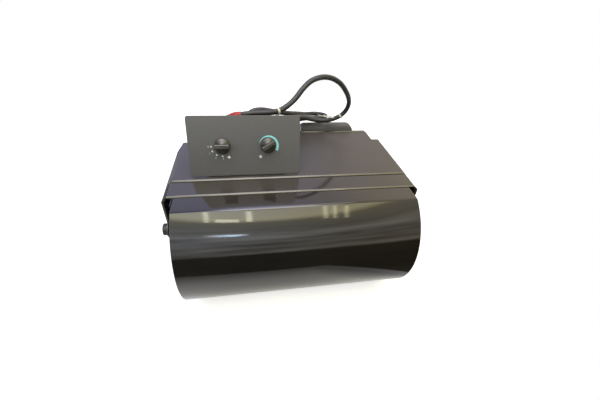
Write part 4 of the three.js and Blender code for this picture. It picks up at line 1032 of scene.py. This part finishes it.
def blade(half_span, z):
    """A level blade: a lens section |z| = thick / 2 * (1 - s^4) with a blunt edge, carried along X."""
    s = np.sin(np.linspace(-1, 1, 15) * np.pi / 2)
    half_thick = BLADE_THICK / 2 * (1 - s**4) + 0.00008
    upper = np.column_stack([s * BLADE_DEEP / 2, z + half_thick])
    lower = np.column_stack([s * BLADE_DEEP / 2, z - half_thick])[::-1]
    return prism(np.vstack([upper, lower]), -half_span, half_span, "x", 0.00005, 1)


def vane_parts(centre):
    """Ball band, three blades, two pins and the ridged finger tab, about the vent's centre."""
    s = np.linspace(-BAND_HALF, BAND_HALF, 15)
    band = np.vstack([np.column_stack([np.sqrt(BALL_R**2 - s**2), s]),
                      [[BORE_R, BAND_HALF], [BORE_R, -BAND_HALF]]])
    parts = [turned(band, (0, 0, 0), "y", 96)]
    parts += [blade(np.sqrt(BORE_R**2 - z * z) + 0.0006, z) for z in (-0.016, 0.0, 0.016)]
    pin = np.array([[0, BALL_R - 0.0015], [0.002, BALL_R - 0.0015], [0.002, BALL_R + 0.0024],
                    [0, BALL_R + 0.0024]])
    parts += [turned(pin * [1, sign], (0, 0, 0), "x", 24) for sign in (-1, 1)]
    t = np.linspace(0, 1, 60)
    ridge = 0.0011 + 0.0003 * np.abs(np.sin(t * np.pi * 5))
    y = 0.0055 + 0.0083 * t
    tab = np.vstack([np.column_stack([y, ridge]), np.column_stack([y[::-1], -ridge[::-1]])])
    parts.append(prism(tab, -0.006, 0.006, "x", 0.0005, 3))
    return [(points + np.asarray(centre), quads) for points, quads in parts]


for side in ("left", "right"):
    for level in ("lower", "upper"):
        where = f"{side}_{level}"
        pivot = np.array(joints[f"vane_tilt_{where}"]["pos_m"])
        low, high = corners(f"vent_ring_{where}")
        rim = turned(ring_profile(low[1], high[1]), (pivot[0], 0, pivot[2]), "y", 8 * GRIPS, rim_notches)
        piece(f"vent_rim_{where}", [rim], matte, f"ring_{where}", [f"vent_ring_{where}"], sharp=50)
        piece(f"vent_blades_{where}", vane_parts(pivot), matte, f"vanes_{where}", [f"vent_vanes_{where}"],
              sharp=50)
print("four vents")

# %% [markdown]
# ## Cooling core, pipes and valve
# The core is a stack of thin fins. Seen from outside only the folded edges show, so its block is a
# surface whose depth zigzags across the width: depth = amplitude * triangle wave of X. Pipes are
# turned profiles, and each union nut is a six-sided prism with a bored hole.

# %% Aluminium and brass finishes, core, pipes and nuts
alloy = finish("mill_aluminium", "aluminium", ((0.52, 0.53, 0.54), (0.64, 0.65, 0.66)), 0.004,
               (0.26, 0.42), 0.00002, 0.0006, stretch=(1, 1, 8), Metallic=1.0)
brass = finish("machined_brass", "brass", ((0.52, 0.36, 0.14), (0.64, 0.46, 0.2)), 0.003, (0.22, 0.36),
               0.00001, 0.0005, stretch=(8, 1, 1), Metallic=1.0)
copper = finish("drawn_copper", "copper", ((0.5, 0.22, 0.12), (0.62, 0.3, 0.17)), 0.005, (0.25, 0.4),
                0.00001, 0.0007, Metallic=1.0)


FOLD_DEPTH = 0.0016


def fin_stack(low, high, folds):
    """A closed block whose front and back faces fold in and out: y = face -/+ depth * (fold % 2)."""
    x = np.linspace(low[0], high[0], 2 * folds + 1)
    dip = FOLD_DEPTH * (np.arange(2 * folds + 1) % 2)
    front, back = low[1] + dip, high[1] - dip
    ring = [(front, low[2]), (back, low[2]), (back, high[2]), (front, high[2])]
    rows = np.stack([np.column_stack([x, y, np.full(len(x), z)]) for y, z in ring], axis=1)
    return grid(rows)


FOLDS = 130
piece("core_fin_stack", [fin_stack(*corners("core_fins"), FOLDS)], alloy, stands_for=["core_fins"],
      sharp=20)
softened(["core_end_left"], "core_return_bends_left", alloy, 0.0002)
softened(["core_end_right"], "core_return_bends_right", alloy, 0.0002)
softened(["expansion_valve"], "expansion_valve_block", alloy, 0.0012, steps=3)
for name in ("liquid", "suction"):
    low, high = corners(f"{name}_pipe")
    x, z, r = (low[0] + high[0]) / 2, (low[2] + high[2]) / 2, (high[0] - low[0]) / 2
    profile = filleted([[r - 0.0012, low[1]], [r, low[1]], [r, high[1]], [r - 0.0012, high[1]]], 0.0004)
    piece(f"{name}_line", [turned(profile, (x, 0, z), "y", 48)], alloy, stands_for=[f"{name}_pipe"])
    low, high = corners(f"{name}_nut")
    reach = (high[0] - low[0]) / 2
    six = np.linspace(0, 2 * np.pi, 6, endpoint=False)
    outline = filleted(np.column_stack([reach * np.cos(six), reach * np.sin(six)]), 0.0006, 4)
    flats = np.linspace(0, 2 * np.pi, len(outline), endpoint=False)
    bore = (r + 0.0003) * np.column_stack([np.cos(flats), np.sin(flats)])
    face = np.minimum(1, reach * 0.86 / np.linalg.norm(outline, axis=1))[:, None] * outline
    steps = [(bore, low[1] + 0.0004), (bore * 1.06, low[1]), (face, low[1]),
             (outline, low[1] + 0.0012), (outline, high[1] - 0.0012), (face, high[1]),
             (bore * 1.06, high[1]), (bore, high[1] - 0.0004)]
    rows = np.stack([np.column_stack([x + edge[:, 0], np.full(len(edge), y), z + edge[:, 1]])
                     for edge, y in steps])
    piece(f"{name}_union", [grid(rows, along=True)], brass, stands_for=[f"{name}_nut"], sharp=25)
print("core, valve, two pipes with their nuts")

# %% [markdown]
# ## Fans and motor
# Two drum fans sit on one motor shaft. A blade is a short arc in section, carried along the drum,
# and copied round the axis. The blades end in a flat hub disc at one side and a ring at the other.

# %% Drum fans
BLADES = 32


def drum_fan(name, sign):
    """Blades: a shallow arch 7.8 mm deep and 0.8 mm thick, y = depth * s and z = 3 mm * (1 - 4 s^2),
    leaning forwards and placed at even angles round X."""
    low, high = corners(name)
    hub, far = (low[0], high[0]) if sign > 0 else (high[0], low[0])
    radius = (high[1] - low[1]) / 2
    s = np.linspace(-0.5, 0.5, 7)
    curve = np.column_stack([radius - 0.0045 + 0.0078 * s, 0.0030 * (1 - 4 * s * s) + 0.003 * s])
    outline = np.vstack([curve + [0, 0.0004], curve[::-1] - [0, 0.0004]])
    parts = []
    for turn in np.linspace(0, 2 * np.pi, BLADES, endpoint=False):
        c, s = np.cos(turn), np.sin(turn)
        placed = outline @ np.array([[c, s], [-s, c]]) + [fan_y, fan_z]
        parts.append(prism(placed, low[0] + 0.001, high[0] - 0.001, "x", 0.0001, 1))
    step = 0.0025 * sign
    disc = np.array([[0.0043, hub], [0.0043, hub + 4 * step], [0.0095, hub + 4 * step],
                     [0.0105, hub + step * 1.2], [radius - 0.001, hub + step], [radius, hub + step * 0.5],
                     [radius - 0.001, hub]])
    hoop = filleted([[radius - 0.0085, far], [radius, far], [radius, far - 1.6 * step],
                     [radius - 0.0085, far - 1.6 * step]], 0.0006)
    parts += [turned(disc, (0, fan_y, fan_z), "x", 64), turned(hoop, (0, fan_y, fan_z), "x", 64)]
    piece(f"drum_{name}", parts, matte, "rotor", [name])


drum_fan("fan_left", -1)
drum_fan("fan_right", 1)
print("two drum fans of", BLADES, "blades")

# %% [markdown]
# ## What the frame already shows well
# Motor parts, scrolls and other hidden pieces keep the frame's own meshes. They only need finishes.

# %% Finishes on the frame's own meshes
ceramic = finish("cement_body", "ceramic", ((0.52, 0.48, 0.4), (0.66, 0.62, 0.54)), 0.004, (0.7, 0.85),
                 0.0001, 0.0008)
winding = finish("motor_winding", "copper", ((0.34, 0.13, 0.06), (0.52, 0.22, 0.1)), 0.002, (0.3, 0.45),
                 0.0001, 0.0006, stretch=(1, 6, 6), Metallic=0.8)
keeps = {"scroll_left": matte, "scroll_right": matte, "motor_cap_left": zinc, "motor_cap_right": zinc,
         "motor_case": zinc, "motor_cradle": zinc, "motor_strap": zinc, "bearing_left": zinc,
         "bearing_right": zinc, "motor_shaft": zinc, "armature": winding, "speed_resistor": ceramic,
         "fan_nut": zinc, "thermostat_nut": zinc}
for name, look in keeps.items():
    mesh = frame["nodes"][name].data
    mesh.materials.clear()
    mesh.materials.append(look)
print(len(keeps), "frame nodes keep their meshes")

# %% [markdown]
# The thermostat feels the core's temperature through a thin copper tube, which is a hose on a smooth
# route. The harness meets the fan switch in a small nylon plug.

# %% Sensing tube and plug
CAPILLARY = 0.001 * np.array([[-43, -39, 235], [-43.6, -37, 231.8], [-47, -29, 227.5], [-54, -17, 225.5],
                              [-60, -3, 226.5], [-62, 6, 224.5], [-62, 9.5, 218.5], [-62, 10, 211.5],
                              [-62, 10, 202.5]])
piece("sensing_tube", [grid(hose(smooth_route(CAPILLARY, 0.002), 0.0012, 14))], copper,
      stands_for=["capillary"])
SWITCH_DEPTH = 0.0301  # from the panel's face to the back of the fan switch
PLUG_DEPTH = 0.0052
back = knob_at["fan"] - OUT * (SWITCH_DEPTH + PLUG_DEPTH + 0.0002)
plug_ring = filleted([[-0.0066, -0.0058], [0.0066, -0.0058], [0.0066, 0.0058], [-0.0066, 0.0058]], 0.0016)
piece("switch_plug", on_panel([prism(plug_ring, 0.0, PLUG_DEPTH, "y", 0.0008)], back), nylon, sharp=40)
print("sensing tube and plug")

# %% [markdown]
# ## Studio
# The floor is a plain pale sheet, cut off in front, and the background is white. A matt sheet lights
# the case from below, and a glossy case shows it as well, so the sheet glows a little for the camera
# and in mirror images. Its front edge is dim in mirror images, where the case would show it last.

# %% Floor
PAPER, PAPER_EDGE = (0.8, 0.8, 0.8), (0.12, 0.12, 0.12)
GLOW_SEEN, GLOW_MIRRORED = 0.55, 0.36
SHEET = [(-0.8, -0.385), (0.10, -0.385), (0.36, -0.06), (0.8, 0.1), (0.8, 0.9), (-0.8, 0.9)]


def floor_finish():
    """Matt paper. In mirror images it fades to dark along its slanted front edge."""
    look = bpy.data.materials.new("studio_floor")
    look.use_nodes = True
    tree = look.node_tree
    shader = tree.nodes["Principled BSDF"]
    shader.inputs["Roughness"].default_value = 0.9
    shader.inputs["Specular IOR Level"].default_value = 0.1
    rays = node(tree, "ShaderNodeLightPath").outputs
    slant = between(tree, along_axis(tree, "X"), 0.05, 0.35, 0.0, 0.33)
    from_edge = maths(tree, "SUBTRACT", along_axis(tree, "Y"), slant)
    dim = times(tree, between(tree, from_edge, -0.375, -0.275, 1, 0), rays["Is Glossy Ray"])
    tree.links.new(blend(tree, dim, PAPER, PAPER_EDGE), shader.inputs["Base Color"])
    glow = node(tree, "ShaderNodeEmission", Color=(1, 1, 1, 1))
    strength = maths(tree, "MAXIMUM", times(tree, rays["Is Camera Ray"], GLOW_SEEN),
                     times(tree, rays["Is Glossy Ray"], GLOW_MIRRORED))
    tree.links.new(strength, glow.inputs["Strength"])
    total = node(tree, "ShaderNodeAddShader")
    tree.links.new(shader.outputs[0], total.inputs[0])
    tree.links.new(glow.outputs[0], total.inputs[1])
    tree.links.new(total.outputs[0], tree.nodes["Material Output"].inputs["Surface"])
    return look


floor_mesh = bpy.data.meshes.new("floor")
floor_mesh.from_pydata([(*corner, frame_box[0][2] - 0.0004) for corner in SHEET], [], [list(range(6))])
floor = bpy.data.objects.new("floor", floor_mesh)
bpy.context.scene.collection.objects.link(floor)
floor_mesh.materials.append(floor_finish())
print("floor of", len(SHEET), "corners")

# %% [markdown]
# A glossy dark case shows little but what it mirrors, so the world is a room, painted as a function
# of the direction (x, y, z) of a ray: x to the right, y away from the camera and z up. A wall's
# colour is a ramp over z. Every lamp, pane and shelf is a product of soft bands, each of which is 1
# inside a range of one coordinate and falls to 0 outside it. Only mirror images see the room at its
# full strength. Matt paint gets two thirds of it, and the camera sees white.

# %% Colours of the room
def ramp(tree, value, stops):
    """A colour that changes along a value, from (place, colour) stops."""
    made = node(tree, "ShaderNodeValToRGB")
    tree.links.new(value, made.inputs[0])
    bar = made.color_ramp.elements
    while len(bar) < len(stops):
        bar.new(0.5)
    for element, (place, colour) in zip(bar, stops):
        element.position, element.color = place, (*colour, 1.0)
    return made.outputs["Color"]


def band(tree, value, rise, full, fade, gone):
    """1 from `full` to `fade`, and 0 below `rise` and above `gone`."""
    return times(tree, between(tree, value, rise, full), between(tree, value, fade, gone, 1, 0))


FAR_WALL = [(0.0, (0.95, 0.93, 0.88)), (0.25, (0.72, 0.71, 0.70)), (0.6, (0.66, 0.66, 0.68)),
            (1.0, (0.8, 0.78, 0.76))]
NEAR_WALL = [(0.0, (0.50, 0.49, 0.44)), (0.14, (0.60, 0.58, 0.54)), (0.24, (0.48, 0.47, 0.45)),
             (0.42, (0.78, 0.78, 0.78)), (0.68, (0.74, 0.72, 0.64)), (0.80, (0.95, 0.90, 0.62)),
             (0.95, (0.9, 0.86, 0.68)), (1.0, (0.82, 0.75, 0.62))]
FAR_HUE = [(0.0, (0.56, 0.66, 1.36)), (0.55, (0.72, 0.68, 1.06)), (0.72, (0.80, 0.74, 0.84)),
           (1.0, (1.10, 0.96, 0.74))]  # from the left to the right
NEAR_HUE = ((0.80, 0.83, 0.90), (0.64, 0.61, 0.54))
STRIP_HUE = (0.60, 0.84, 1.1)

world = bpy.data.worlds.new("studio")
bpy.context.scene.world = world
world.use_nodes = True
tree = world.node_tree
way = node(tree, "ShaderNodeTexCoord").outputs["Generated"]
parts = node(tree, "ShaderNodeSeparateXYZ")
tree.links.new(way, parts.inputs[0])
x, y, z = (parts.outputs[axis] for axis in "XYZ")
rays = node(tree, "ShaderNodeLightPath").outputs
mirror_ray = rays["Is Glossy Ray"]
walls = blend(tree, between(tree, y, -0.16, 0.12), ramp(tree, z, NEAR_WALL), ramp(tree, z, FAR_WALL))
drift = blend(tree, between(tree, y, -0.1, 0.1), blend(tree, between(tree, x, -0.3, 0.4), *NEAR_HUE),
              ramp(tree, between(tree, x, -0.3, 0.5), FAR_HUE))
strip = times(tree, band(tree, z, 0.49, 0.505, 0.525, 0.545), band(tree, x, -0.36, -0.23, -0.19, -0.12),
              between(tree, y, -0.1, 0.0, 1, 0))
room = blend(tree, 1.0, walls, blend(tree, strip, drift, STRIP_HUE), "MULTIPLY")
print("room painted")

# %% [markdown]
# The brightness is a sum: the walls everywhere, then the ceiling, the panes, the strip and the
# zenith where their bands are 1. The sum is multiplied by clutter on the camera's side, and by what
# dims it below the floor's edge, behind the case and at the far left.

# %% Brightness of the room
WALLS, CEILING, PANE, STRIP, ZENITH = 2.4, 4.5, 9.0, 16.0, 9.0
PLAIN = 0.66  # share of the room's light that falls on matt paint
PANES = [(-0.34, -0.33, 0.78, 0.92), (-0.29, -0.18, 0.785, 0.82), (-0.13, -0.11, 0.79, 0.93),
         (0.29, 0.30, 0.74, 0.93), (0.34, 0.35, 0.72, 0.90), (0.40, 0.41, 0.70, 0.86)]

ceiling = times(tree, band(tree, z, 0.76, 0.82, 0.94, 0.965), between(tree, y, -0.1, 0.05, 1, 0))
bright = maths(tree, "MULTIPLY_ADD", ceiling, CEILING, WALLS)
for left, right_end, low_end, high_end in PANES:
    pane = times(tree, band(tree, x, left - 0.009, left, right_end, right_end + 0.009),
                 band(tree, z, low_end - 0.01, low_end, high_end, high_end + 0.01),
                 between(tree, y, -0.12, -0.05, 1, 0))
    bright = maths(tree, "MULTIPLY_ADD", pane, PANE, bright)
bright = maths(tree, "MULTIPLY_ADD", strip, STRIP, bright)
zenith = times(tree, between(tree, z, 0.955, 0.97), mirror_ray)
bright = maths(tree, "MULTIPLY_ADD", zenith, ZENITH, bright)

stretched = node(tree, "ShaderNodeMapping", Scale=(2.2, 0.6, 12))
clutter = node(tree, "ShaderNodeTexNoise", Scale=1.0, Detail=3)
tree.links.new(way, stretched.inputs["Vector"])
tree.links.new(stretched.outputs["Vector"], clutter.inputs["Vector"])
in_view = times(tree, between(tree, y, -0.2, 0.0, 1, 0), between(tree, z, 0.45, 0.7, 1, 0))
shelves = blend(tree, in_view, (1, 1, 1), between(tree, clutter.outputs["Fac"], 0.36, 0.64, 0.55, 1.5))
below = between(tree, z, -0.05, -0.005, 0.05, 1.0)
behind = between(tree, y, -0.1, 0.1, 1.0, 0.6)
far_left = between(tree, x, -0.85, -0.55, 0.12, 1)
share = between(tree, mirror_ray, 0, 1, PLAIN, 1)
lit = node(tree, "ShaderNodeVectorMath", operation="SCALE")
tree.links.new(room, lit.inputs[0])
tree.links.new(times(tree, bright, shelves, below, behind, far_left, share), lit.inputs["Scale"])
print("room lit with", len(PANES), "panes")

# %% [markdown]
# The camera sees a white background, and so does a ray that has gone through something clear. In a
# mirror image, the wall behind the case takes a little of the same white.

# %% White background and lamps
haze = times(tree, mirror_ray, between(tree, y, 0.05, 0.5, 0, 0.3), between(tree, z, 0.0, 0.1))
through = maths(tree, "MAXIMUM", rays["Is Camera Ray"], rays["Is Transmission Ray"])
white = maths(tree, "MAXIMUM", through, haze)
tree.links.new(blend(tree, white, lit.outputs[0], (1, 1, 1)), tree.nodes["Background"].inputs["Color"])
tree.nodes["Background"].inputs["Strength"].default_value = 1.0


LAMPS_AIM = (0, 0, 0.1)


def soft_lamp(name, at, size, power, colour=(1, 1, 1)):
    """A rectangular lamp that points at the case, with its size in metres and its power in watts."""
    lamp = bpy.data.objects.new(name, bpy.data.lights.new(name, "AREA"))
    bpy.context.scene.collection.objects.link(lamp)
    lamp.data.shape, lamp.data.size, lamp.data.size_y = "RECTANGLE", *size
    lamp.data.energy, lamp.data.color = power, colour
    lamp.location = at
    lamp.rotation_euler = (Vector(LAMPS_AIM) - Vector(at)).to_track_quat("-Z", "Y").to_euler()


soft_lamp("overhead", (0.1, 0.3, 2.4), (1.8, 1.8), 16)
soft_lamp("left_window", (-1.3, -0.9, 1.1), (0.35, 0.6), 4, (0.9, 0.94, 1.0))
bpy.context.scene.view_settings.view_transform = "Standard"
print("studio ready")
